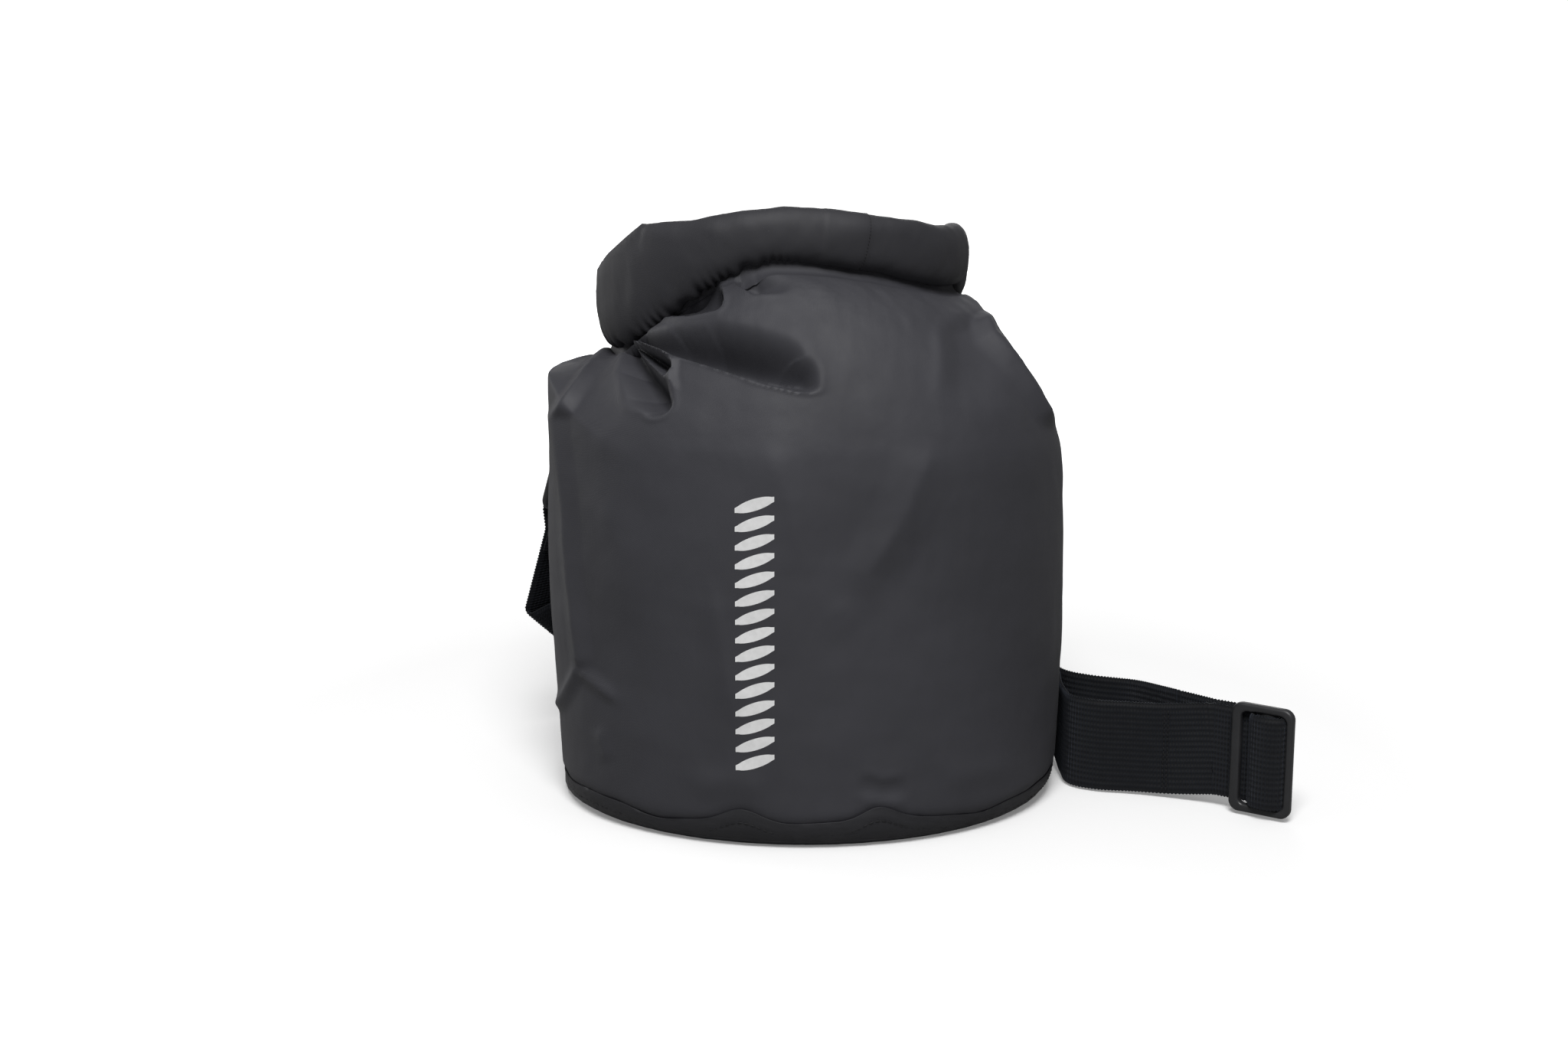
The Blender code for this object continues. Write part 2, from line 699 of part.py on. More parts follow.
def wrap_path(order, reach):
    """From the left, behind the side bar, forward over the middle bar and back: order 0 is the outer turn."""
    bar = middle_bar_offset()
    front = FIRST_LAYER - order * LAYER
    radius = SEWN_RADIUS + (1 - order) * LAYER
    back = FIRST_LAYER - (3 - order) * LAYER - (1 - order) * GAP / 3
    slot_bend = bar - radius + front
    path = [at_slider(-reach, front), at_slider((slot_bend - reach) / 2, front)]
    path += arc_at_slider(slot_bend, -front, -90, 0, 6)
    path += arc_at_slider(bar, radius, 180, -90, 14)[1:]
    slope = (back + radius) / 2
    tail = [path[-1], at_slider(bar - 0.0036, -radius + slope * 0.85), at_slider(bar - 0.0072, back)]
    tail += [at_slider(bar - 0.0110, back), at_slider(-reach, back)]
    return path[:-1] + catmull(tail, 4)


def make_adjuster_webbing(webbing, parts):
    """The sewn end of the webbing on the middle bar, and the turn of the free run over it."""
    sewn = wrap_path(1, SEWN_REACH)
    ribbon("strap_sewn_end", sewn, [UP] * len(sewn), STRAP_WIDTH, STRAP_THICKNESS, webbing, parts)
    turn = wrap_path(0, FREE_REACH)
    ribbon("strap_slider_turn", turn, [UP] * len(turn), STRAP_WIDTH, STRAP_THICKNESS, webbing, parts)


def make_lower_run(webbing, parts):
    """From the slider, round the right side, to the strap's lower end."""
    point, outward, rightward = wall_frame(LOWER_RING_TURN, LOWER_RING_Z)
    start = point + outward * (RING_STAND_OFF - 0.001) + rightward * (RING_LENGTH + STRAP_END + 0.001)
    corners = [
        at_slider(-RUN_END, FIRST_LAYER + LAYER),
        at_slider(-RUN_REACH, FIRST_LAYER + LAYER),
        at_slider(-RUN_REACH - 0.010, FIRST_LAYER + LAYER + GAP),
        Vector((0.1225, -0.0120, 0.0202)),
        Vector((0.1112, 0.0080, 0.0212)),
        Vector((0.1110, 0.0330, 0.0256)),
        start + rightward * 0.012 - outward * 0.002,
        start,
    ]
    path = catmull(corners, 5)
    ribbon("strap_lower_run", path, [UP] * len(path), STRAP_WIDTH, STRAP_THICKNESS, webbing, parts)


def make_upper_run(webbing, parts):
    """From the strap's upper end down the left, across behind the bag, and round the right to the slider."""
    point, outward, rightward = wall_frame(UPPER_RING_TURN, UPPER_RING_Z)
    along = -UP * math.cos(UPPER_RING_SWING) + outward * math.sin(UPPER_RING_SWING)
    start = point + outward * RING_STAND_OFF + along * (RING_LENGTH + STRAP_END + 0.001)
    knee = start + along * 0.009 - UP * 0.006
    down = [start, start + along * 0.004, start + along * 0.009 - UP * 0.0005, knee]
    turn_radius = 0.0215
    centre = down[-1] + rightward * turn_radius
    arc = [centre + (-rightward * math.cos(a) - UP * math.sin(a)) * turn_radius for a in quarter_turns(5)]
    corners = [
        arc[-1],
        Vector((-0.0400, 0.0970, 0.0465)),
        Vector((0.0050, 0.1040, 0.0390)),
        Vector((0.0500, 0.1020, 0.0300)),
        Vector((0.0890, 0.0860, 0.0235)),
        Vector((0.1115, 0.0540, 0.0206)),
        Vector((0.1195, 0.0260, 0.0202)),
        Vector((0.1290, 0.0065, 0.0206)),
        at_slider(-RUN_REACH - 0.010, FIRST_LAYER - 4 * LAYER - GAP),
        at_slider(-RUN_REACH, FIRST_LAYER - 4 * LAYER - GAP),
        at_slider(-RUN_END, FIRST_LAYER - 4 * LAYER - GAP),
    ]
    tail = catmull(corners, 4)[1:]
    path = down + arc + tail
    across = [rightward] * len(down)
    across += [rightward * math.cos(a) - UP * math.sin(a) for a in quarter_turns(5)]
    across += [-UP] * len(tail)
    ribbon("strap_upper_run", path, across, STRAP_WIDTH, STRAP_THICKNESS, webbing, parts)


def quarter_turns(steps):
    return [math.pi / 2 * (k + 1) / steps for k in range(steps)]


def main():
    clear_scene()
    parts = new_collection("roll_top_dry_bag")
    cutters = new_collection("cutters", hidden=True)
    fabric = new_material("coated_fabric", (0.045, 0.044, 0.052), 0.55)
    base = new_material("base_fabric", (0.042, 0.041, 0.048), 0.55)
    tape = new_material("seam_tape", (0.050, 0.050, 0.056), 0.40)
    webbing = new_material("webbing", (0.014, 0.015, 0.018), 0.80)
    plastic = new_material("moulded_plastic", (0.025, 0.025, 0.027), 0.45)
    stiffener = new_material("stiffener_plastic", (0.30, 0.30, 0.30), 0.50)
    anchor = {"patch": fabric, "plastic": plastic, "webbing": webbing}

    make_body(fabric, parts)
    make_base_cup(base, parts)
    make_base_tape(tape, parts)
    seam = (TAPE_WIDTH, CUP_HEIGHT + 0.003, RIGHT_SHOULDER_Z, TAPE_THICKNESS)
    wall_patch("back_seam_tape", BACK_SEAM_TURN, *seam, tape, parts)
    make_anchor("upper", UPPER_RING_TURN, UPPER_RING_Z, True, UPPER_RING_SWING, anchor, parts)
    make_anchor("lower", LOWER_RING_TURN, LOWER_RING_Z, False, 0.0, anchor, parts)
    make_roll(fabric, parts)
    make_stiffener(stiffener, parts)
    make_socket(plastic, parts, cutters)
    make_plug(plastic, parts, cutters)
    make_arm("buckle_upper_arm", 1, plastic, parts, cutters)
    make_arm("buckle_lower_arm", -1, plastic, parts, cutters)
    make_buckle_tabs(webbing, parts)
    make_slider(plastic, parts, cutters)
    make_adjuster_webbing(webbing, parts)
    make_lower_run(webbing, parts)
    make_upper_run(webbing, parts)


main()
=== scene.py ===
"""The looks of the roll-top dry bag: coated fabric, webbing, moulded plastic, and the studio round it."""

import json
import math

import bmesh
import bpy
import numpy as np
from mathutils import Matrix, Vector
from mathutils.bvhtree import BVHTree


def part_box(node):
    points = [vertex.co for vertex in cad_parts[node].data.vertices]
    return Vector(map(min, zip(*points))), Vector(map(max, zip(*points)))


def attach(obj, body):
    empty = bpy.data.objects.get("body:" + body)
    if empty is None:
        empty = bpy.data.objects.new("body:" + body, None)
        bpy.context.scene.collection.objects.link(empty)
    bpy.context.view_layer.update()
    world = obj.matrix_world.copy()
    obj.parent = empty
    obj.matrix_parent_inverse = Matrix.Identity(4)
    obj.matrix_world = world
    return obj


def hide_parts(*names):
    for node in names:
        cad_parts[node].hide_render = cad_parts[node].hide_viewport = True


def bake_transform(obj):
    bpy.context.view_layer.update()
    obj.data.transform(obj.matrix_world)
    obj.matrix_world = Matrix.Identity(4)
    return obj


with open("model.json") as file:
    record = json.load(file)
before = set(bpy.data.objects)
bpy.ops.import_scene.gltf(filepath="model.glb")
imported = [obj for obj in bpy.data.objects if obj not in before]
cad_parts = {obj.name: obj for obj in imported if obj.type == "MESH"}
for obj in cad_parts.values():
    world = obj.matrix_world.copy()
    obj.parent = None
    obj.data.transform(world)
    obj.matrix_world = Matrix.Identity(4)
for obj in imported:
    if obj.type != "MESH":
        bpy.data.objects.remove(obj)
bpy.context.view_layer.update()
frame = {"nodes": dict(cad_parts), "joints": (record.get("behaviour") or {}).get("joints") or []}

MM = 0.001
SHARP_ANGLE = math.radians(50)

# The camera, and the plane through its aim on which the folds of the front are laid out.
ELEVATION = math.radians(13)
DISTANCE = 1.0
AIM = Vector((-0.0084, 0, 0.1096))
LENS = 56.7
SENSOR = 36

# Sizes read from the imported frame.
CUP_LOW, CUP_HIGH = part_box("base_cup")
HALF_WIDTH = (CUP_HIGH[0] - CUP_LOW[0]) / 2
HALF_DEPTH = (CUP_HIGH[1] - CUP_LOW[1]) / 2
ROLL_LOW, ROLL_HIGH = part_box("rolled_closure")
JOINTS = {joint["name"]: joint for joint in frame["joints"]}

# The horseshoe that the roll is bent into, as the frame has it.
ROLL_THICKNESS = 15 * MM
SHOE_X = (ROLL_LOW[0] + ROLL_HIGH[0]) / 2
SHOE_HALF_WIDTH = (ROLL_HIGH[0] - ROLL_LOW[0] - ROLL_THICKNESS) / 2
SHOE_Y = 18 * MM
SHOE_HALF_DEPTH = SHOE_Y - ROLL_LOW[1] - ROLL_THICKNESS / 2
SHOE_REACH = math.radians(134)
FLANK = 0.58
ROLL_FRONT_HEIGHT = 21.5 * MM
ROLL_RIGHT_HEIGHT = 25 * MM
ROLL_LEFT_HEIGHT = 43 * MM
ROLL_END_HEIGHT = 32 * MM
ROLL_FRONT_Z = ROLL_HIGH[2] - ROLL_FRONT_HEIGHT / 2
ROLL_RIGHT_Z = ROLL_FRONT_Z - 12.7 * MM
ROLL_LEFT_Z = ROLL_FRONT_Z - 28.2 * MM
ROLL_END_Z = ROLL_FRONT_Z - 42.2 * MM
LEFT_SHOULDER_Z = 172 * MM
FRONT_SHOULDER_Z = 151 * MM
RIGHT_SHOULDER_Z = 142 * MM
FRONT_REACH = math.radians(114)
NECK_DROP = 4.2 * MM


# Small tools.


def ease(t):
    """0 to 1 with flat ends, for a number or an array."""
    t = np.clip(t, 0, 1)
    return t * t * (3 - 2 * t)


def along_roll(side, front, flank, end):
    reach = np.abs(side)
    near = front + (flank - front) * ease(reach / FLANK)
    far = flank + (end - flank) * ease((reach - FLANK) / (1 - FLANK))
    return np.where(reach < FLANK, near, far)


def roll_height(side):
    flank = np.where(side < 0, ROLL_LEFT_HEIGHT, ROLL_RIGHT_HEIGHT)
    return along_roll(side, ROLL_FRONT_HEIGHT, flank, ROLL_END_HEIGHT)


def shoe_points(side):
    """Points of the roll's axis: side runs from -1 at the left end, 0 in front, to 1 at the right end."""
    turn = side * SHOE_REACH
    flank = np.where(side < 0, ROLL_LEFT_Z, ROLL_RIGHT_Z)
    z = along_roll(side, ROLL_FRONT_Z, flank, ROLL_END_Z)
    x = SHOE_X + SHOE_HALF_WIDTH * np.sin(turn)
    return np.stack([x, SHOE_Y - SHOE_HALF_DEPTH * np.cos(turn), z], axis=-1)


def unit(v):
    return v / np.maximum(np.linalg.norm(v, axis=-1, keepdims=True), 1e-12)


def distances(path):
    """How far along a path each of its points lies."""
    return np.concatenate([[0], np.cumsum(np.linalg.norm(np.diff(path, axis=0), axis=1))])


def crowded(count, extra, start, end):
    """Places from -1 to 1 that crowd between start and end, each given as (place, length it fades over)."""
    even = np.linspace(-1, 1, 2000)
    density = 1 + extra * ease((even - start[0]) / start[1]) * ease((end[0] - even) / end[1])
    share = np.concatenate([[0], np.cumsum((density[1:] + density[:-1]) / 2)])
    return np.interp(np.linspace(0, share[-1], count), share, even)


def mm(x, y, z):
    """A point given in millimetres."""
    return np.array([x, y, z]) * MM


def outward_at(x, y):
    """The direction out of the bag's oval wall at a point of it."""
    return unit(np.stack([x / HALF_WIDTH**2, y / HALF_DEPTH**2, 0 * x], axis=-1))


def shoe_frames(side):
    """The roll's direction, outward side and upward side."""
    along = unit(shoe_points(side + 0.01) - shoe_points(side - 0.01))
    outward = unit(np.cross(along, np.array([0, 0, 1.0])))
    return along, outward, np.cross(outward, along)


def waves(points, length, seed, octaves=3):
    """Smooth noise in -1 to 1 made of turned sine waves, about this length between crests."""
    rng = np.random.default_rng(seed)
    total = np.zeros(points.shape[:-1])
    for octave in range(octaves):
        for _ in range(5):
            direction = unit(rng.normal(size=3))
            phase = rng.uniform(0, 2 * math.pi)
            bend = rng.uniform(0.5, 1.5)
            size = length * rng.uniform(0.7, 1.4) / 2**octave
            reach = points @ direction * 2 * math.pi / size
            twist = np.sin(points @ unit(rng.normal(size=3)) * 4 / size)
            total += np.sin(reach + phase + bend * twist) / 2**octave
    return total / (5 * 1.2)


def quads_of(index):
    """The four corners of each cell in a grid of vertex numbers."""
    return np.stack([index[:-1, :-1], index[:-1, 1:], index[1:, 1:], index[1:, :-1]], axis=-1).reshape(-1, 4)


def grid_object(name, points, material, wrap_rows=False, wrap_columns=False, caps=0):
    """A mesh object over a grid of points [row, column, xyz], joined round where it wraps.

    caps: 1 closes the first row with a face, and 2 closes the last row too.
    """
    index = np.arange(points.shape[0] * points.shape[1]).reshape(points.shape[:2])
    down = np.vstack([index, index[:1]]) if wrap_rows else index
    grid = np.hstack([down, down[:, :1]]) if wrap_columns else down
    ends = [index[0].tolist(), index[-1][::-1].tolist()]
    return mesh_object(name, points.reshape(-1, 3).tolist(), quads_of(grid).tolist() + ends[:caps], material)


def mesh_object(name, vertices, faces, material):
    """A smooth object with its normals outward, and with edges sharper than SHARP_ANGLE kept sharp."""
    mesh = bpy.data.meshes.new(name)
    mesh.from_pydata(vertices, [], faces)
    bm = bmesh.new()
    bm.from_mesh(mesh)
    bmesh.ops.recalc_face_normals(bm, faces=bm.faces)
    bm.to_mesh(mesh)
    bm.free()
    mesh.shade_smooth()
    mesh.set_sharp_from_angle(angle=SHARP_ANGLE)
    mesh.materials.append(material)
    return linked(bpy.data.objects.new(name, mesh))


def linked(obj):
    bpy.context.scene.collection.objects.link(obj)
    return obj


def settle(obj, body, replaced=None):
    """Ties a piece to its body, and hides the CAD node that it stands for."""
    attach(obj, body)
    if replaced:
        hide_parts(replaced)


def grid_normals(points, wrap_columns=False):
    """Normals of a grid. They follow its row direction crossed with its column direction."""
    if wrap_columns:
        wide = np.concatenate([points[:, -1:], points, points[:, :1]], axis=1)
        across = wide[:, 2:] - wide[:, :-2]
    else:
        across = np.gradient(points, axis=1)
    return unit(np.cross(across, np.gradient(points, axis=0)))


# Folds, laid out on the camera's plane.


def seen(points):
    """Where points are seen on the plane through the aim: rightward and upward, in metres."""
    offset = points - np.array(AIM)
    cos, sin = math.cos(ELEVATION), math.sin(ELEVATION)
    depth = DISTANCE + offset[..., 1] * cos - offset[..., 2] * sin
    upward = offset[..., 2] * cos + offset[..., 1] * sin
    return np.stack([offset[..., 0], upward], axis=-1) * (DISTANCE / depth)[..., None]


def press_back(points, start, end, share):
    """Pushes points back towards the seen line from start to end, where they stick out to the left of it."""
    start, end = np.array(start) * MM, np.array(end) * MM
    ahead = unit(end - start)
    out = np.array([-ahead[1], ahead[0]])
    beyond = np.maximum((seen(points) - start) @ out, 0) * share
    points[..., 0] -= beyond * out[0]
    points[..., 2] -= beyond * out[1] / math.cos(ELEVATION)
    return points


def stroke(plane, corners, width, depth, kind, start, end, taper):
    """How far a fold along a line of corners moves each point of a plane outward.

    kind: valley (a rounded hollow between low rims), ridge (a crest) or crease (a crest with a fine edge).
    start and end are the shares of its length over which it fades. taper scales its width at both ends.
    """
    corners = np.array(corners) * MM
    reach = distances(corners)
    reach /= reach[-1]
    nearest = np.full(plane.shape[:-1], np.inf)
    place = np.zeros(plane.shape[:-1])
    for i in range(len(corners) - 1):
        span = corners[i + 1] - corners[i]
        t = np.clip(((plane - corners[i]) @ span) / (span @ span), 0, 1)
        gap = np.linalg.norm(plane - (corners[i] + t[..., None] * span), axis=-1)
        closer = gap < nearest
        nearest = np.where(closer, gap, nearest)
        place = np.where(closer, reach[i] + (reach[i + 1] - reach[i]) * t, place)
    fade = ease(place / start) * ease((1 - place) / end)
    w = nearest / (width * MM * (taper[0] + (taper[1] - taper[0]) * place))
    if kind == "valley":
        shape = -np.exp(-(w**2.4)) + 0.30 * np.exp(-((w - 1.55) ** 2) / 0.20)
    elif kind == "ridge":
        shape = np.exp(-(w**2))
    else:
        shape = np.maximum(0, 1 + 0.12 - np.sqrt(w * w + 0.0144)) ** 1.5
    return shape * fade * depth * MM


def hollow(plane, corners, left_sizes, right_sizes, depths, soft, rim):
    """How far a hollow along a line of corners moves each point of a plane outward.

    The line is where it is deepest. The sizes are how far it reaches to the left and right of each corner.
    soft is the share of that reach that its walls take: 1 is rounded, and 0.3 is flat with a crisp edge.
    """
    corners = np.array(corners) * MM
    nearest = np.full(plane.shape[:-1], np.inf)
    deep = np.zeros(plane.shape[:-1])
    on_left = np.zeros(plane.shape[:-1], bool)
    for i in range(len(corners) - 1):
        span = corners[i + 1] - corners[i]
        length = np.linalg.norm(span)
        from_start = plane - corners[i]
        ahead = (from_start @ span) / length
        t = np.clip(ahead / length, 0, 1)
        beyond = ahead - t * length
        across = (span[0] * from_start[..., 1] - span[1] * from_start[..., 0]) / length
        left_size = (left_sizes[i] + (left_sizes[i + 1] - left_sizes[i]) * t) * MM
        right_size = (right_sizes[i] + (right_sizes[i + 1] - right_sizes[i]) * t) * MM
        round_end = 0.7 * np.maximum(left_size, right_size)
        gap = np.hypot(across / np.where(across > 0, left_size, right_size), beyond / round_end)
        closer = gap < nearest
        nearest = np.where(closer, gap, nearest)
        deep = np.where(closer, (depths[i] + (depths[i + 1] - depths[i]) * t) * MM, deep)
        on_left = np.where(closer, across > 0, on_left)
    walls = np.where(on_left, soft[0], soft[1])
    lip = rim * MM * np.exp(-(((nearest - 1.1) / 0.2) ** 2)) * np.minimum(1, deep / (4 * MM))
    return lip - deep * ease((1 - nearest) / walls)


FRONT_HOLLOWS = [
    # corners of the deepest line, reach to its left, reach to its right, depths, softness, rim
    (
        [(-62, 74.5), (-44.4, 69.5), (-30.8, 65.8), (-16.2, 61.3), (-3.5, 57.9), (6.0, 56.2)],
        [1.2, 11.5, 17.5, 20.0, 19.5, 12.5],
        [1.2, 2.2, 2.4, 2.6, 3.0, 3.6],
        [4.5, 12.5, 15.5, 15.0, 12.5, 8.5],
        (1.0, 1.0),
        0.35,
    ),
    (
        [(-62, 80), (-49, 86.5), (-40, 89.5), (-29, 91.5)],
        [1.2, 4.5, 6.0, 6.5],
        [1.0, 4.0, 6.5, 6.5],
        [6.0, 13.0, 15.0, 13.0],
        (0.8, 0.8),
        0.6,
    ),
    (
        [(-63, 74), (-59.5, 63), (-54.4, 54), (-50.5, 47.5)],
        [1.2, 6.0, 9.0, 6.5],
        [1.5, 8.0, 11.0, 7.0],
        [4.0, 11.0, 13.0, 8.0],
        (1.0, 1.0),
        0.35,
    ),
    ([(-60, 72), (-53, 67), (-47.5, 63.5)], [1, 2.4, 2.6], [1, 3.2, 4.5], [3.5, 8.0, 9.0], (0.5, 0.9), 0.0),
    ([(-18, 98), (-12, 96.5), (3, 96)], [2.0, 5.0, 4.0], [2.5, 4.5, 3.5], [4.0, 5.5, 0.3], (0.9, 0.9), 0.2),
]

FRONT_FOLDS = [
    # line of corners, width, depth, kind, fade in, fade out, width at start and end
    ([(-62, 74.5), (-53, 70.3), (-44.5, 67.6)], 2.2, 3.4, "crease", 0.15, 0.2, (0.6, 1.1)),
    ([(-44.2, 68), (-45.5, 58), (-43, 50)], 2.4, 1.8, "crease", 0.15, 0.5, (1, 1.2)),
    (
        [(-65, 74), (-76.3, 64.5), (-79, 61.4), (-91.8, 43), (-89, 19), (-86, -20), (-81, -62)],
        4.5,
        3.0,
        "crease",
        0.05,
        0.05,
        (0.9, 1.1),
    ),
    ([(-82, -58), (-92, -76)], 3.6, 2.0, "crease", 0.1, 0.2, (1, 1)),
    ([(-82, -60), (-64, -75)], 3.6, 1.8, "crease", 0.1, 0.5, (1, 1)),
    ([(-75, -82), (-71, -98)], 4.5, 1.0, "crease", 0.3, 0.3, (1, 1)),
    ([(79, 86), (83, 75.6), (92.7, 63.5), (109, 38)], 4.2, 4.2, "crease", 0.1, 0.15, (1, 1)),
    ([(72, 86), (76, 68), (80, 44)], 8.0, 2.4, "valley", 0.2, 0.5, (0.8, 1.3)),
    ([(62, 34), (46, -2), (34, -20), (34, -38)], 14.0, 1.8, "crease", 0.2, 0.3, (1, 0.8)),
    ([(20, -31), (31, -44)], 10.0, 0.5, "crease", 0.4, 0.4, (1, 1)),
    ([(-30, -20), (-19, -88)], 10.0, 1.2, "crease", 0.3, 0.3, (1, 1)),
    ([(-12, 40), (2, 8), (8, -24)], 16.0, 1.1, "crease", 0.3, 0.4, (1, 0.7)),
    ([(-80, 20), (-66, -10), (-62, -50)], 12.0, 1.0, "crease", 0.3, 0.4, (1, 1)),
    ([(28, -105), (40, -109), (52, -107)], 3.5, 1.0, "valley", 0.3, 0.3, (1, 1)),
    ([(-40, -108), (-20, -104), (-4, -110)], 6.0, 0.8, "ridge", 0.3, 0.3, (1, 1)),
    ([(60, -104), (80, -101), (98, -98)], 6.0, 0.8, "ridge", 0.3, 0.3, (1, 1)),
]

# Folds of the back and the hollow top, laid out from above: rightward and backward, in millimetres.
TOP_FOLDS = [
    ([(-50, 50), (-30, 62), (-4, 70)], 6.0, 5.0, "valley", 0.15, 0.3, (0.6, 1.3)),
    ([(42, 50), (26, 62), (4, 66)], 6.0, 4.5, "valley", 0.15, 0.3, (0.6, 1.3)),
    ([(-52, 42), (-32, 34), (-10, 30)], 5.0, 4.0, "valley", 0.15, 0.4, (0.6, 1.4)),
    ([(44, 42), (26, 30), (8, 26)], 5.0, 3.5, "valley", 0.15, 0.4, (0.6, 1.4)),
    ([(-60, 56), (-74, 52), (-88, 40)], 5.0, 3.0, "valley", 0.15, 0.3, (0.7, 1.2)),
    ([(54, 56), (70, 50), (84, 36)], 5.0, 3.0, "valley", 0.15, 0.3, (0.7, 1.2)),
]

# Folds down the back wall: rightward and upward, in millimetres.
BACK_FOLDS = [
    ([(-40, 150), (-34, 120), (-38, 84)], 11.0, 1.6, "crease", 0.2, 0.5, (0.8, 1.3)),
    ([(36, 150), (44, 110), (38, 70)], 12.0, 1.5, "crease", 0.2, 0.5, (0.8, 1.3)),
    ([(-6, 140), (-14, 90), (-8, 40)], 14.0, 1.0, "crease", 0.3, 0.5, (1, 1)),
]


def all_folds(plane, folds):
    return sum(stroke(plane, *fold) for fold in folds)


# Materials.

DUST_COLOUR = (0.050, 0.050, 0.054, 1)
WEAVE_PITCH = 0.42 * MM


def new_material(name):
    material = bpy.data.materials.new(name)
    material.use_nodes = True
    tree = material.node_tree
    return material, tree, tree.nodes["Principled BSDF"]


def feed(tree, made, inputs):
    """Links or sets a node's inputs, given by name or by number."""
    for key, value in inputs.items():
        if isinstance(value, bpy.types.NodeSocket):
            tree.links.new(value, made.inputs[key])
        else:
            made.inputs[key].default_value = value


def node(tree, kind, inputs=None, **settings):
    made = tree.nodes.new(kind)
    for key, value in settings.items():
        setattr(made, key, value)
    feed(tree, made, inputs or {})
    return made


def math_node(tree, operation, *inputs):
    return node(tree, "ShaderNodeMath", dict(enumerate(inputs)), operation=operation).outputs[0]


def sine_of(tree, source, per_unit):
    """The sine of source times per_unit."""
    return math_node(tree, "SINE", math_node(tree, "MULTIPLY", source, per_unit))


def split_vector(tree, vector):
    return node(tree, "ShaderNodeSeparateXYZ", {"Vector": vector}).outputs


def is_camera_ray(tree):
    return node(tree, "ShaderNodeLightPath").outputs["Is Camera Ray"]


def shaded(tint, factor):
    return tuple(channel * factor for channel in tint)


def object_coordinates(tree, scale=(1, 1, 1)):
    """Coordinates fixed to the piece, in metres times scale."""
    source = node(tree, "ShaderNodeTexCoord").outputs["Object"]
    return node(tree, "ShaderNodeMapping", {"Vector": source, "Scale": scale}).outputs["Vector"]


def ramp(tree, factor, low, high, start=0.0, end=1.0):
    """A colour or a grey between low and high as factor goes from start to end."""
    made = node(tree, "ShaderNodeValToRGB", {"Fac": factor})
    for element, colour, at in zip(made.color_ramp.elements, (low, high), (start, end)):
        element.position = at
        element.color = (*colour, 1) if isinstance(colour, tuple) else (colour, colour, colour, 1)
    return made.outputs["Color"]


def bump(tree, height, distance, strength, under=None):
    """The normal over a height, on top of an earlier normal where there is one."""
    inputs = {"Height": height, "Distance": distance, "Strength": strength}
    if under:
        inputs["Normal"] = under
    return node(tree, "ShaderNodeBump", inputs).outputs["Normal"]


def noise_node(tree, vector, scale, detail):
    inputs = {"Vector": vector, "Scale": scale, "Detail": detail}
    return node(tree, "ShaderNodeTexNoise", inputs).outputs["Fac"]


def mixed(tree, factor, first, second, blend="MIX"):
    inputs = {"Factor": factor, "A": first, "B": second}
    return node(tree, "ShaderNodeMix", inputs, data_type="RGBA", blend_type=blend).outputs["Result"]


def coated_fabric(name, tint=(0.0375, 0.0375, 0.0450), rough=0.64):
    """Matt polyurethane coating over a fine plain weave, with faint scuffs and dust."""
    material, tree, shader = new_material(name)
    place = object_coordinates(tree)
    cloth = ramp(tree, noise_node(tree, place, 14, 4), shaded(tint, 0.90), shaded(tint, 1.10), 0.35, 0.65)
    specks = ramp(tree, noise_node(tree, place, 900, 1), 0.0, 1.0, 0.80, 0.84)
    scuffs = noise_node(tree, object_coordinates(tree, (1, 1, 0.3)), 60, 5)
    crinkle = bump(tree, noise_node(tree, place, 130, 4), 0.10 * MM, 0.6)
    looks = {
        "Base Color": mixed(tree, specks, cloth, DUST_COLOUR),
        "Roughness": ramp(tree, scuffs, rough - 0.06, rough + 0.08, 0.3, 0.7),
        "Normal": bump(tree, weave_height(tree, WEAVE_PITCH), 0.03 * MM, 0.55, crinkle),
        "Sheen Weight": 0.02,
        "Sheen Roughness": 0.45,
        "Specular IOR Level": 0.50,
    }
    feed(tree, shader, looks)
    return material


def weave_height(tree, pitch):
    """A plain weave: crossed fine waves, across and up the piece."""
    split = split_vector(tree, object_coordinates(tree))
    level = math_node(tree, "ADD", split["X"], split["Y"])
    threads = [sine_of(tree, source, 2 * math.pi / pitch) for source in (level, split["Z"])]
    return math_node(tree, "MULTIPLY", *threads)


def webbing_material(name, tint=(0.0075, 0.0082, 0.0100)):
    """Polyester webbing. Its ribs are in the mesh; u runs across it in rows and v along it in ribs. Its
    colour is darker in the grooves between the rows: painted shade.
    """
    material, tree, shader = new_material(name)
    split = split_vector(tree, node(tree, "ShaderNodeUVMap").outputs["UV"])
    row_wave = sine_of(tree, split["X"], 2 * math.pi)
    rib_wave = sine_of(tree, split["Y"], 4 * math.pi)
    grooves = bump(tree, row_wave, 0.10 * MM, 0.9)
    fine = bump(tree, rib_wave, 0.05 * MM, 0.5, grooves)
    fibre = noise_node(tree, object_coordinates(tree), 2600, 2)
    # Painted shade: the colour falls to 0.55 of the tint in the grooves between the rows, where the row wave
    # is low.
    painted_groove_shade = ramp(tree, row_wave, shaded(tint, 0.55), tint, -0.4, 0.6)
    patches = ramp(tree, noise_node(tree, object_coordinates(tree), 300, 3), 0.8, 1.2, 0.3, 0.7)
    looks = {
        "Base Color": mixed(tree, 1, painted_groove_shade, patches, "MULTIPLY"),
        "Roughness": 0.72,
        "Normal": bump(tree, fibre, 0.06 * MM, 0.6, fine),
        "Sheen Weight": 0.14,
        "Sheen Tint": (0.55, 0.62, 0.80, 1),
        "Specular IOR Level": 0.30,
    }
    feed(tree, shader, looks)
    return material


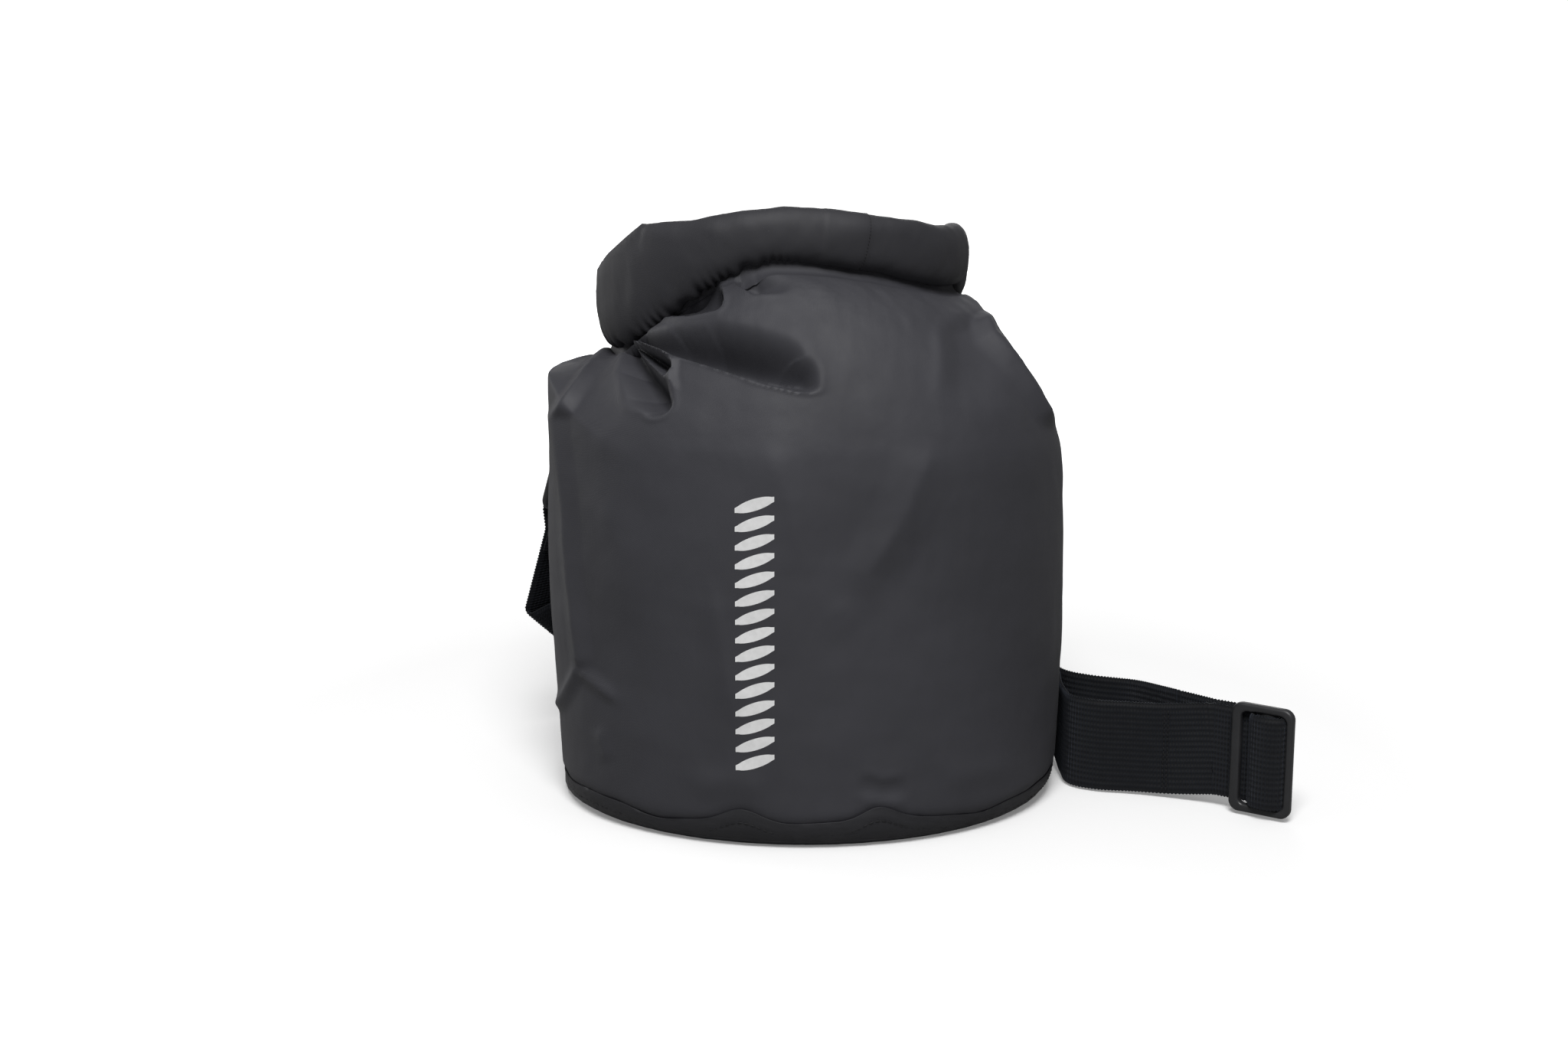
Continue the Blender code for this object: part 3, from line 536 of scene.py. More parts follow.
def moulded_plastic(name, tint=(0.0230, 0.0234, 0.0252), rough=0.42):
    """Matt acetal with the fine grain of a mould, worn a little smoother in patches."""
    material, tree, shader = new_material(name)
    place = object_coordinates(tree)
    wear = noise_node(tree, place, 120, 4)
    looks = {
        "Base Color": ramp(tree, wear, tint, shaded(tint, 1.25), 0.3, 0.75),
        "Roughness": ramp(tree, wear, rough - 0.08, rough + 0.10, 0.3, 0.7),
        "Normal": bump(tree, noise_node(tree, place, 2200, 2), 0.03 * MM, 0.5),
    }
    feed(tree, shader, looks)
    return material


def thread_material(name, tint=(0.011, 0.011, 0.013)):
    material, tree, shader = new_material(name)
    twist = noise_node(tree, object_coordinates(tree), 3500, 1)
    looks = {
        "Base Color": ramp(tree, twist, shaded(tint, 0.6), tint, 0.3, 0.7),
        "Roughness": 0.6,
        "Normal": bump(tree, twist, 0.04 * MM, 0.8),
    }
    feed(tree, shader, looks)
    return material


def print_material(name):
    """White ink, very slightly uneven."""
    material, tree, shader = new_material(name)
    patchy = noise_node(tree, object_coordinates(tree), 500, 3)
    looks = {
        "Base Color": ramp(tree, patchy, 0.78, 0.86, 0.3, 0.7),
        "Roughness": ramp(tree, patchy, 0.5, 0.6, 0.3, 0.7),
    }
    feed(tree, shader, looks)
    return material


FABRIC = coated_fabric("coated_fabric")
# The roll's fabric is a darker copy of the bag's fabric: painted shade against the extra light its upward
# faces catch.
ROLL_FABRIC_PAINTED_SHADE = coated_fabric("roll_fabric_painted_shade", (0.0245, 0.0243, 0.0290), 0.62)
# A darker copy of the bag's fabric for the base cup: painted shade where the bag curves under.
BASE_FABRIC_PAINTED_SHADE = coated_fabric("base_fabric", (0.0185, 0.0184, 0.0220), 0.60)
TAPE = coated_fabric("seam_tape", (0.0235, 0.0235, 0.0270), 0.44)
WEBBING = webbing_material("webbing")
PLASTIC = moulded_plastic("moulded_plastic")
THREAD = thread_material("thread")
INK = print_material("white_ink")
STIFFENER = moulded_plastic("stiffener_plastic", (0.25, 0.25, 0.26), 0.5)


# The body.

FRONT_COLUMNS = 312
BACK_COLUMNS = 92
WALL_ROWS = 90
SHOULDER_ROWS = 122
TUCK_ROWS = 8
BODY_START_Z = 3.0 * MM
BASE_ROUND = 15 * MM
FLAT_RIGHT_SHOULDER = ((78.7, 88.7), (108.4, 48.2))


def body_columns():
    """side and facing for each column, round the body from the left fold across the front and back again."""
    front = crowded(FRONT_COLUMNS, 1.3, (-0.86, 0.15), (0.42, 0.2))
    back = np.linspace(1, -1, BACK_COLUMNS + 2)[1:-1]
    return np.concatenate([front, back]), np.concatenate([np.ones(FRONT_COLUMNS), -np.ones(BACK_COLUMNS)])


def wall_turn(side, facing):
    behind = math.pi - side * (math.pi - FRONT_REACH)
    return np.where(facing > 0, side * FRONT_REACH, behind)


def shoulder_start(side):
    left = (LEFT_SHOULDER_Z - FRONT_SHOULDER_Z) * ease((-side - 0.35) / 0.4)
    return FRONT_SHOULDER_Z + left + (RIGHT_SHOULDER_Z - FRONT_SHOULDER_Z) * ease((side - 0.1) / 0.8)


def base_inset(z):
    """How far the skin is drawn in where it rounds under at the bottom."""
    below = np.clip((BASE_ROUND - z) / BASE_ROUND, 0, 1)
    return 11 * MM * (1 - np.sqrt(1 - below**2 * 0.98))


def left_taper(turn):
    """How far the left side is drawn in at the bottom, with turn 0 in front and negative to the left."""
    return 6 * MM * ease(-turn - 0.9)


def wall_rows(turn, start):
    """The wall's outline from above, and rows of points up it to where the shoulder starts in each column."""
    wall = np.stack([HALF_WIDTH * np.sin(turn), -HALF_DEPTH * np.cos(turn)], axis=-1)
    lip = cup_height(math.pi - turn)
    rows = []
    for v in np.linspace(0, 1, WALL_ROWS, endpoint=False):
        z = BODY_START_Z + (start - BODY_START_Z) * v
        tuck = 1.5 * MM * (1 - ease((z - lip + 2 * MM) / (5 * MM))) + base_inset(z)
        tuck = tuck + left_taper(turn) * ease((100 * MM - z) / (90 * MM))
        puff = (1.2 + 1.3 * ease(turn / 1.2)) * MM * np.sin(np.pi * np.clip(z / 0.15, 0, 1))
        grow = 1 + (puff - tuck) / HALF_WIDTH
        rows.append(np.column_stack([wall * grow[:, None], z]))
    return wall, rows


def shoulder_rows(wall, start, neck, side, facing):
    """Rows of points from the wall up and in to the neck: rounded in front, and hollow behind."""
    front = facing * np.cos(side * math.pi / 2)
    round_share = 0.65 * ease((front + 0.5) / 0.5)
    hollow_share = 0.7 * ease(-front / 0.8)
    low = np.column_stack([wall, start])
    rows = []
    for rise in np.linspace(0, 1, SHOULDER_ROWS):
        late = 1 - math.cos(rise * math.pi / 2)
        early = math.sin(rise * math.pi / 2)
        straight = (1 - round_share - hollow_share) * rise
        inward = straight + round_share * late + hollow_share * early
        upward = straight + round_share * early + hollow_share * late
        rows.append(low + (neck - low) * np.stack([inward, inward, upward], axis=-1))
    return rows


def tuck_rows(neck, outward, reach):
    """Rows of points from the neck in and up, inside the roll."""
    rows = []
    for lift in np.arange(1, TUCK_ROWS + 1) / TUCK_ROWS:
        point = neck - outward * (reach * ease(lift * 1.6))[:, None]
        point[:, 2] += (NECK_DROP + 6 * MM) * ease((lift - 0.25) / 0.75)
        rows.append(point)
    return rows


def body_point_grid():
    side, facing = body_columns()
    start = shoulder_start(side)
    wall, rows = wall_rows(wall_turn(side, facing), start)
    outward = shoe_frames(side)[1]
    ledge = np.where(facing > 0, 5.0 * MM * ease((side + 0.6) / 0.5), 0) * ease((1 - side) / 0.2) + 1.6 * MM
    neck = shoe_points(side) + outward * (facing * ledge)[:, None]
    neck[:, 2] -= roll_height(side) / 2 + NECK_DROP
    rows += shoulder_rows(wall, start, neck, side, facing)
    rows += tuck_rows(neck, outward, facing * (ledge - 0.5 * MM))
    return np.array(rows), facing


def smooth_rows(points, rounds, low, high):
    """Evens out the rows between low and high, where the wall turns into the shoulder."""
    for _ in range(rounds):
        middle = (points[low - 1 : high - 1] + points[low + 1 : high + 1]) / 2
        points[low:high] += (middle - points[low:high]) * 0.5
    return points


def fold_body(points, facing):
    """Presses the folds and hollows into the body, and adds soft waves and the gathers under the roll."""
    normals = grid_normals(points, wrap_columns=True)
    normals *= np.sign(np.sum(normals * (points - [0, 0, 0.1]), axis=-1).mean())
    behind = facing < 0
    level = np.arange(len(points))[:, None] / len(points)
    to_camera = -normals[..., 1] * math.cos(ELEVATION) + normals[..., 2] * math.sin(ELEVATION)
    view = seen(points)
    moved = all_folds(view, FRONT_FOLDS) + sum(hollow(view, *shape) for shape in FRONT_HOLLOWS)
    moved *= ease((to_camera + 0.15) / 0.25) * ~behind
    top_share = ease((points[..., 2] - 0.140) / 0.02)
    moved += all_folds(points[..., :2], TOP_FOLDS) * top_share * (behind | (normals[..., 1] > 0.2))
    rear_share = ease((normals[..., 1] - 0.2) / 0.3) * (1 - top_share * 0.5)
    moved += all_folds(points[..., [0, 2]], BACK_FOLDS) * rear_share
    soft = waves(points, 60 * MM, 3) * 0.55 * MM + waves(points, 22 * MM, 4) * 0.16 * MM
    neck_share = ease((level - 0.62) / 0.25) * np.where(behind, 1.0, 0.35)
    gathers = waves(points * np.array([1, 1, 0.25]), 11 * MM, 5) * 0.8 * MM * neck_share
    fixed = ease((1 - level) / 0.05) * ease(level / 0.03)
    return points + normals * ((moved + soft + gathers) * fixed)[..., None]


def make_body():
    points, facing = body_point_grid()
    points = smooth_rows(points, 26, WALL_ROWS - 14, WALL_ROWS + 16)
    points = press_back(points, *FLAT_RIGHT_SHOULDER, 0.9)
    body = grid_object("bag_body", fold_body(points, facing), FABRIC, wrap_columns=True)
    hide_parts("body_tube")
    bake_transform(body)
    return body


# The base cup: the same fabric, turned up round the tube and stitched. Its material is a darker copy, painted
# shade where the bag curves under.

CUP_COLUMNS = 400
CUP_ROWS = 20
CUP_GAP = 0.3 * MM
CUP_BASE_INSETS = (0.60, 0.35, 0.12, 0.03)
CUP_LIP = ((0.35, -0.15), (0.9, 0.1), (1.3, 0.8), (1.5, 3.0))
STITCH_DROP = 5.2 * MM


def cup_height(turn):
    """The flange's wavy upper edge, turn 0 at the back. In front it has two humps, and a dip outside each."""
    right = math.pi - turn
    wavy = 0.5 * np.sin(5 * turn + 0.6) + 0.4 * np.sin(11 * turn + 2.0) + 0.25 * np.sin(23 * turn)
    humps = 4.6 * np.exp(-(((right + 0.25) / 0.10) ** 2)) + 4.6 * np.exp(-(((right - 0.27) / 0.085) ** 2))
    dips = 3.5 * np.exp(-(((right - 0.75) / 0.25) ** 2)) + 3.0 * np.exp(-(((right + 0.62) / 0.2) ** 2))
    return (11.5 + wavy + humps - dips) * MM


def make_cup():
    turn = np.linspace(0, 2 * math.pi, CUP_COLUMNS, endpoint=False)
    cos, sin = np.cos(turn), np.sin(turn)

    def ring(scale, z):
        return np.stack([HALF_WIDTH * scale * sin, HALF_DEPTH * scale * cos, z + 0 * turn], axis=-1)

    deepest = base_inset(0) / HALF_WIDTH
    rows = [ring(1 - (inset + deepest), 0.0) for inset in CUP_BASE_INSETS]
    rows.insert(0, rows[0] * np.array([0.02, 0.02, 1]))
    for t in np.linspace(0, 1, CUP_ROWS) ** 1.5:
        z = cup_height(turn) * t
        ripple = waves(np.stack([sin, cos, turn * 0 + t], -1) * 0.1, 8 * MM, 8)
        bulge = 0.5 * MM * np.sin(math.pi * t) + 0.35 * MM * ripple
        rows.append(ring(1 + (bulge + CUP_GAP - base_inset(z) - left_taper(math.pi - turn)) / HALF_WIDTH, z))
    lip = rows[-1]
    for inset, drop in CUP_LIP:
        scale = 1 - inset * MM / HALF_WIDTH
        rows.append(lip * np.array([scale, scale, 1]) - np.array([0, 0, drop * MM]))
    cup = grid_object("base_cup_fabric", np.array(rows), BASE_FABRIC_PAINTED_SHADE, wrap_columns=True, caps=1)
    settle(cup, "bag", "base_cup")


# Stitches, each kind with its pitch, the length of its threads and their radius.

BASE_STITCH = (2.6 * MM, 1.9 * MM, 0.22 * MM)
ROLL_STITCH = (1.25 * MM, 0.85 * MM, 0.16 * MM)
STRAP_STITCH = (1.9 * MM, 1.5 * MM, 0.2 * MM)
TAB_STITCH = (2.2 * MM, 1.6 * MM, 0.22 * MM)
THREAD_SIDES = 6
THREAD_RINGS = 5


def on_path(path, reach, at):
    """The points (or directions) of a path at these distances along it."""
    return np.stack([np.interp(at, reach, path[:, a]) for a in range(3)], axis=-1)


def stitches(name, path, normals, kind, body=None):
    """A row of short threads, each dipping into the cloth at both ends, along a path of points."""
    pitch, length, radius = kind
    reach = distances(path)
    sides, rings = THREAD_SIDES, THREAD_RINGS
    around = np.linspace(0, 2 * math.pi, sides, endpoint=False)
    vertices, faces = [], []
    for k in range(int(reach[-1] / pitch)):
        base = len(vertices)
        for t in np.arange(rings) / (rings - 1):
            at = (k + 0.5) * pitch + (t - 0.5) * length
            centre = on_path(path, reach, at)
            normal = unit(on_path(normals, reach, at))
            along = unit(on_path(path, reach, at + 0.05 * MM) - centre + 1e-9)
            across = unit(np.cross(along, normal))
            swell = math.sin(math.pi * (0.15 + 0.7 * t))
            centre = centre + normal * (radius * (1.5 * swell - 0.75))
            size = radius * (0.35 + 0.65 * swell)
            for a in around:
                vertices.append(tuple(centre + across * math.cos(a) * size + normal * math.sin(a) * size))
        for j in range(rings - 1):
            for i in range(sides):
                n = (i + 1) % sides
                p, q = base + j * sides, base + (j + 1) * sides
                faces.append((p + i, p + n, q + n, q + i))
        faces.append(tuple(base + i for i in reversed(range(sides))))
        faces.append(tuple(base + (rings - 1) * sides + i for i in range(sides)))
    row = mesh_object(name, vertices, faces, THREAD)
    if body:
        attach(row, body)
    return row


def make_cup_stitches():
    turn = np.linspace(0, 2 * math.pi, 900)
    z = cup_height(turn) - STITCH_DROP
    reach = 0.75 * MM - base_inset(z) - left_taper(math.pi - turn)
    x = (HALF_WIDTH + reach) * np.sin(turn)
    y = (HALF_DEPTH + reach) * np.cos(turn)
    path = np.stack([x, y, z], axis=-1)
    stitches("base_stitching", path, outward_at(x, y), BASE_STITCH, "bag")


# The rolled top.

ROLL_STATIONS = 430
SECTION_STEPS = 44
SPIRAL_TURNS = 2.3
SPIRAL_PITCH = 2.3 * MM
SHEET = 1.3 * MM
SEAM_SIDE = 0.195
FLAT_LEFT_CORNER = ((-77.2, 103.8), (-54.2, 124))


def section_at(turn, side, shrink):
    """(outward, upward) of the roll's section, turn 0 at the bottom and going outward and up the front."""
    s, c = math.sin(turn), -math.cos(turn)
    out = (ROLL_THICKNESS / 2 - shrink) * np.sign(s) * np.abs(s) ** 0.85 + 0 * side
    up = (roll_height(side) / 2 - shrink) * np.sign(c) * np.abs(c) ** 0.80
    return out, up


def spiral_skins(side, turns):
    """The outer and the inner skin of the rolled sheet, [turn, station, xyz]."""
    _, outward, upward = shoe_frames(side)
    axis = shoe_points(side)
    skins = []
    for depth in (0, SHEET):
        rows = []
        for turn in turns:
            out, up = section_at(turn, side, SPIRAL_PITCH * turn / (2 * math.pi) + depth)
            rows.append(axis + outward * out[:, None] + upward * up[:, None])
        skins.append(np.array(rows))
    return skins


def bend_roll(points, axis_z, side):
    """Leans the left end's top to the right, and raises the top of the left shoulder."""
    over = np.maximum(points[..., 2] - axis_z - 9 * MM, 0)
    lean = (ease((-side - 0.45) / 0.25) * ease((side + 1) / 0.15))[:, None]
    points[..., 0] += over * 1.3 * lean
    points[..., 2] -= over * 0.12 * lean
    shoulder = np.exp(-(((side + 0.44) / 0.15) ** 2))[:, None]
    points[..., 2] += np.maximum(points[..., 2] - axis_z, 0) * 0.42 * shoulder
    return press_back(points, *FLAT_LEFT_CORNER, 0.92)


def make_roll():
    side = crowded(ROLL_STATIONS, 1.4, (-0.85, 0.1), (0.15, 0.15))
    turns = np.arange(int(SECTION_STEPS * SPIRAL_TURNS) + 1) * 2 * math.pi / SECTION_STEPS
    outer, inner = spiral_skins(side, turns)
    axis = shoe_points(side)
    direction = unit(outer - axis)
    first_turn = (1 - ease((turns / (2 * math.pi) - 1.0) / 0.15))[:, None]
    bumps = roll_bumps(outer, turns, side) * first_turn
    outer = outer + direction * bumps[..., None]
    inner = inner + direction * (bumps * 0.8)[..., None]
    points = np.concatenate([outer, inner[::-1]]).transpose(1, 0, 2)
    points = bend_roll(points, axis[:, None, 2], side)
    roll = grid_object("roll_fabric_painted_shade", points, ROLL_FABRIC_PAINTED_SHADE, wrap_columns=True, caps=2)
    settle(roll, "closure", "rolled_closure")
    seam = int(np.argmin(np.abs(side - SEAM_SIDE)))
    front = slice(2, int(SECTION_STEPS * 0.75))
    stitches("roll_seam_stitching", outer[front, seam], direction[front, seam], ROLL_STITCH, "closure")


def roll_bumps(points, turns, side):
    """The roll's creases, its knobbly upper left, the puckers along its lower left edge and the seam tape."""
    turn = turns[:, None] % (2 * math.pi)
    side = side[None, :]
    soft = waves(points, 45 * MM, 11) * 0.8 * MM
    fine = waves(points, 14 * MM, 12) * 0.25 * MM
    left = ease((-side - 0.15) / 0.3)
    knobs = waves(points, 20 * MM, 13) * 2.2 * MM * left * ease((turn - 1.9) / 0.6)
    low_edge = np.exp(-((turn / 0.55) ** 2)) + np.exp(-(((turn - 2 * math.pi) / 0.4) ** 2))
    gathered = ease((-side + 0.10) / 0.15)
    puckers = np.sin(side * 205 + 3.5 * np.sin(side * 33)) + 0.6 * np.sin(side * 91 + 1)
    puckers = puckers * 0.75 * MM * low_edge * gathered
    tape = 0.28 * MM * ease((side - SEAM_SIDE + 0.105) / 0.008) * ease((SEAM_SIDE + 0.004 - side) / 0.006)
    return soft + fine + knobs + puckers + tape


# Webbing.

RIB_PITCH = 1.35 * MM
RIB_STEPS = 4
RIB_STEP = RIB_PITCH / RIB_STEPS
RIB_DEPTH = 0.20 * MM
SCALLOP = 0.24 * MM
STRAP_COLUMNS = 26


def resample(path, sides, step):
    """Evenly spaced points along a smooth path, with the direction of the width at each."""
    reach = distances(path)
    count = max(int(round(reach[-1] / step)), 4)
    at = np.linspace(0, reach[-1], count + 1)
    return on_path(path, reach, at), unit(on_path(sides, reach, at)), at


def smooth_line(points, rounds):
    points = points.copy()
    for _ in range(rounds):
        points[1:-1] += ((points[:-2] + points[2:]) / 2 - points[1:-1]) * 0.5
    return points


def swept(path, across, width, columns=STRAP_COLUMNS):
    """A grid over the middle of the webbing: rows along it, and columns that crowd towards its edges."""
    along = unit(np.gradient(path, axis=0))
    side = np.cross(unit(np.cross(along, across)), along)
    return path[:, None] + side[:, None] * (spread(columns) * width / 2)[None, :, None]


def spread(columns):
    u = np.linspace(-1, 1, columns)
    return np.sign(u) * np.abs(u) ** 0.75


def weave(name, middle, phase, thickness, rows_across):
    """Woven webbing over a grid of its middle: ribs across it, and scalloped edges with rounded selvedges."""
    u = spread(middle.shape[1])
    normals = grid_normals(middle)
    side = unit(np.gradient(middle, axis=1))
    rib = np.cos(2 * math.pi * phase)[:, None]
    edge = ease((np.abs(u) - 0.88) / 0.12)[None, :]
    tuck = thickness / 2 * (1 - 0.6 * edge**2)
    scallop = side * (np.sign(u)[None, :] * SCALLOP * edge * rib)[..., None]
    relief = RIB_DEPTH * (1 - 0.8 * edge)
    front = middle + scallop + normals * (tuck + relief * rib)[..., None]
    back = middle + scallop - normals * (tuck - relief * rib)[..., None]
    points = np.concatenate([front, back[:, ::-1]], axis=1)
    obj = grid_object(name, points, WEBBING, wrap_columns=True, caps=2)
    uv_map(obj, np.concatenate([u, u[::-1]]) * rows_across / 2, phase)
    return obj


def sweep_webbing(name, path, across, width, thickness, rows_across, columns=STRAP_COLUMNS):
    """Webbing along a path, with its width in the same direction all the way."""
    path, across, at = resample(path, np.tile(across, (len(path), 1)), RIB_STEP)
    return weave(name, swept(path, across, width, columns), at / RIB_PITCH, thickness, rows_across)


def uv_map(obj, across, phase):
    """u counts the rows across the webbing, v the ribs along it."""
    columns = len(across)
    layer = obj.data.uv_layers.new(name="weave")
    corner = np.empty(len(obj.data.loops), np.int32)
    obj.data.loops.foreach_get("vertex_index", corner)
    uv = np.stack([across[corner % columns], phase[corner // columns]], axis=-1)
    layer.data.foreach_set("uv", uv.astype(np.float32).ravel())


# The strap: one length of webbing from the upper ring, behind the bag, through the slider, to the lower ring.

STRAP_WIDTH = 38 * MM
STRAP_THICKNESS = 1.5 * MM
STRAP_ROWS = 17
TAB_WIDTH = 25 * MM
TAB_THICKNESS = 1.2 * MM
TAB_ROWS = 11
TAB_COLUMNS = 20
LAYER_GAP = 0.2 * MM
RING_ROD = 1.8 * MM
RING_CLEARANCE = 0.42 * MM
RING_LENGTH = 22 * MM
RING_WIDTH = 43.6 * MM
UPPER_LEAN = math.radians(20)
FOLD_ANGLE = math.radians(38)
FOLD_RADIUS = 1.3 * MM
FOLD_DOWN = 86 * MM

SLIDER_LOW, SLIDER_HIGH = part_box("strap_slider")
SLIDER_ALONG = np.array(JOINTS["strap_adjust"]["axis"])
SLIDER_PLACE = np.array((SLIDER_LOW + SLIDER_HIGH) / 2) - SLIDER_ALONG * MM
SLIDER_FACING = np.cross(SLIDER_ALONG, [0, 0, 1.0])
SLIDER_WIDTH = 26 * MM
SLIDER_HEIGHT = 45 * MM
SLIDER_THICKNESS = 3.6 * MM
SIDE_BAR = 4.2 * MM
THIN_BAR = 2.9 * MM
MIDDLE_BAR = 7.6 * MM
MIDDLE_BAR_THICKNESS = 2.6 * MM
END_BAR = 3.3 * MM
SLIDER_CORNER = 4.2 * MM
OPENING_CORNER = 2.6 * MM
SLIDER_EDGE = 1.2 * MM
OPENING = (-SLIDER_WIDTH / 2 + SIDE_BAR, SLIDER_WIDTH / 2 - THIN_BAR)
STRAP_LAYER = STRAP_THICKNESS + LAYER_GAP
STRAP_RADIUS = RING_ROD + RING_CLEARANCE + STRAP_THICKNESS / 2
TAB_LAYER = TAB_THICKNESS + LAYER_GAP
TAB_RADIUS = RING_ROD + RING_CLEARANCE + TAB_THICKNESS / 2
SLIDER_FRONT = -(SLIDER_THICKNESS / 2 + STRAP_THICKNESS / 2 + 0.15 * MM)
SEWN_AT = mm(146, -22.5, 21.0)
WRAP_RADIUS = 2.9 * MM

# Where the strap is cut into pieces, and how many of its rows are searched for each place.
BEHIND_X = 30 * MM
BEHIND_ROWS = 250
RING_CORNER = mm(106, 20, 22)
CORNER_ROWS = 330

BAR_AT = OPENING[1] - 8.0 * MM
LOOP_STRETCH = 1.48
DOWN = np.array([0, 0, -1.0])
BACKWARD = np.array([0, 1.0, 0])


def ring_frame(joint, lean):
    """Hinge point of a ring, the direction of its bar, the direction of its loop, and its outer side."""
    hinge = np.array(JOINTS[joint]["pos_m"])
    outward = outward_at(hinge[0], hinge[1])
    rightward = np.cross(outward, -DOWN)
    lies_level = abs(JOINTS[joint]["axis"][2]) < 0.5
    bar, down = (rightward, DOWN) if lies_level else (-DOWN, rightward)
    along = down * math.cos(lean) + outward * math.sin(lean)
    facing = outward * math.cos(lean) - down * math.sin(lean)
    return hinge, bar, along, facing


def hairpin(bar, along, facing, inner, outer, radius, closed):
    """Points from a sewn inner layer, round a bar, to an outer layer that closes up to it."""
    base = bar - facing * radius
    path = [base + along * inner * share for share in (1, 0.7, 0.4)]
    for a in np.linspace(0, math.pi, 13):
        path.append(bar - along * radius * math.sin(a) - facing * radius * math.cos(a))
    path.append(base + along * 3 * MM + facing * (radius * 2 - 0.3 * MM))
    path.append(base + along * 10 * MM + facing * (closed + 0.2 * MM))
    path.append(base + along * 12 * MM + facing * closed)
    path.append(base + along * outer + facing * closed)
    return np.array(path)


def curve_through(points, steps=10):
    """A smooth path through points: Catmull-Rom, with its knots spaced by distance."""
    points = np.array(points, float)
    wide = np.vstack([2 * points[0] - points[1], points, 2 * points[-1] - points[-2]])
    gaps = np.sqrt(np.linalg.norm(np.diff(wide, axis=0), axis=1))
    knots = np.concatenate([[0], np.cumsum(gaps)])
    path = []
    for i in range(1, len(wide) - 2):
        a, b, c, d = wide[i - 1 : i + 3]
        t0, t1, t2, t3 = knots[i - 1 : i + 3]
        for t in np.linspace(t1, t2, steps, endpoint=False):
            ab = (a * (t1 - t) + b * (t - t0)) / (t1 - t0)
            bc = (b * (t2 - t) + c * (t - t1)) / (t2 - t1)
            cd = (c * (t3 - t) + d * (t - t2)) / (t3 - t2)
            abc = (ab * (t2 - t) + bc * (t - t0)) / (t2 - t0)
            bcd = (bc * (t3 - t) + cd * (t - t1)) / (t3 - t1)
            path.append((abc * (t2 - t) + bcd * (t - t1)) / (t2 - t1))
    return np.array(path + [points[-1]])


def at_slider(along_by, facing_by):
    return SLIDER_PLACE + SLIDER_ALONG * along_by + SLIDER_FACING * facing_by


def slider_wrap(order, front_reach, back_reach):
    """From the left, behind the side bar, forward over the middle bar and back: order 0 is the outer turn."""
    front = SLIDER_FRONT - order * STRAP_LAYER
    radius = WRAP_RADIUS + (1 - order) * STRAP_LAYER
    back = front - (3 - 2 * order) * STRAP_LAYER
    wide = radius * LOOP_STRETCH
    bend = BAR_AT - wide + front
    path = [at_slider(-front_reach, front), at_slider((bend - front_reach) / 2, front)]
    for a in np.linspace(-math.pi / 2, 0, 9):
        path.append(at_slider(bend - front * math.cos(a), -front * math.sin(a)))
    for a in np.linspace(math.pi, -math.pi / 2, 26)[1:]:
        flat = 0.88 if a > 0 else 1.0
        tuck = 2.4 * MM * max(0, math.cos(a)) * math.sqrt(max(0, -math.sin(a)))
        path.append(at_slider(BAR_AT + wide * math.cos(a) + tuck, radius * math.sin(a) * flat))
    tail = [path[-1], at_slider(BAR_AT - 4 * MM, (back - radius) / 2), at_slider(BAR_AT - 9 * MM, back)]
    tail += [at_slider(BAR_AT - 13 * MM, back), at_slider(-back_reach, back)]
    return np.vstack([np.array(path[:-1]), curve_through(tail, 8)])


def diagonal_fold(fold, down, across, facing, s, w):
    """A point of flat webbing, s along and w across, once it is folded over a slanted line through fold.

    Before the line it lies in the plane of down and across. After it, it lies one fold's width behind.
    """
    line = np.array([math.sin(FOLD_ANGLE), math.cos(FOLD_ANGLE)])
    over = np.array([math.cos(FOLD_ANGLE), -math.sin(FOLD_ANGLE)])
    along_line = s * line[0] + w * line[1]
    past = s * over[0] + w * over[1]
    turn = np.clip(past / FOLD_RADIUS, 0, math.pi)
    beyond = np.maximum(past - math.pi * FOLD_RADIUS, 0)
    from_line = np.where(past < 0, past, FOLD_RADIUS * np.sin(turn) - beyond)
    depth = FOLD_RADIUS * (1 - np.cos(turn))
    flat = along_line[..., None] * line + from_line[..., None] * over
    return fold + flat[..., :1] * down + flat[..., 1:] * across - depth[..., None] * facing


def strap_from_ring():
    """Grids of the strap's turn in the upper ring and the fold below it, and which way round they lie."""
    hinge, bar, along, facing = ring_frame("upper_ring_swing", UPPER_LEAN)
    far = hinge + along * RING_LENGTH
    zone = STRAP_WIDTH / 2 * math.tan(FOLD_ANGLE) + 1 * MM
    drop = FOLD_DOWN - RING_LENGTH
    path = hairpin(far, along, facing, 20 * MM, drop - zone, STRAP_RADIUS, STRAP_LAYER)
    path, across, _ = resample(path, np.tile(bar, (len(path), 1)), RIB_STEP)
    hanging = swept(path, across, STRAP_WIDTH)
    fold = far - facing * (STRAP_RADIUS - STRAP_LAYER) + along * drop
    reach = zone + math.pi * FOLD_RADIUS / math.cos(FOLD_ANGLE) + 1 * MM
    s = np.arange(-zone + RIB_STEP, reach, RIB_STEP)
    sign = np.sign(np.sum((hanging[-1, -1] - hanging[-1, 0]) * bar))
    w = spread(hanging.shape[1]) * STRAP_WIDTH / 2 * sign
    return hanging, diagonal_fold(fold, along, bar, facing, s[:, None], w[None, :]), sign


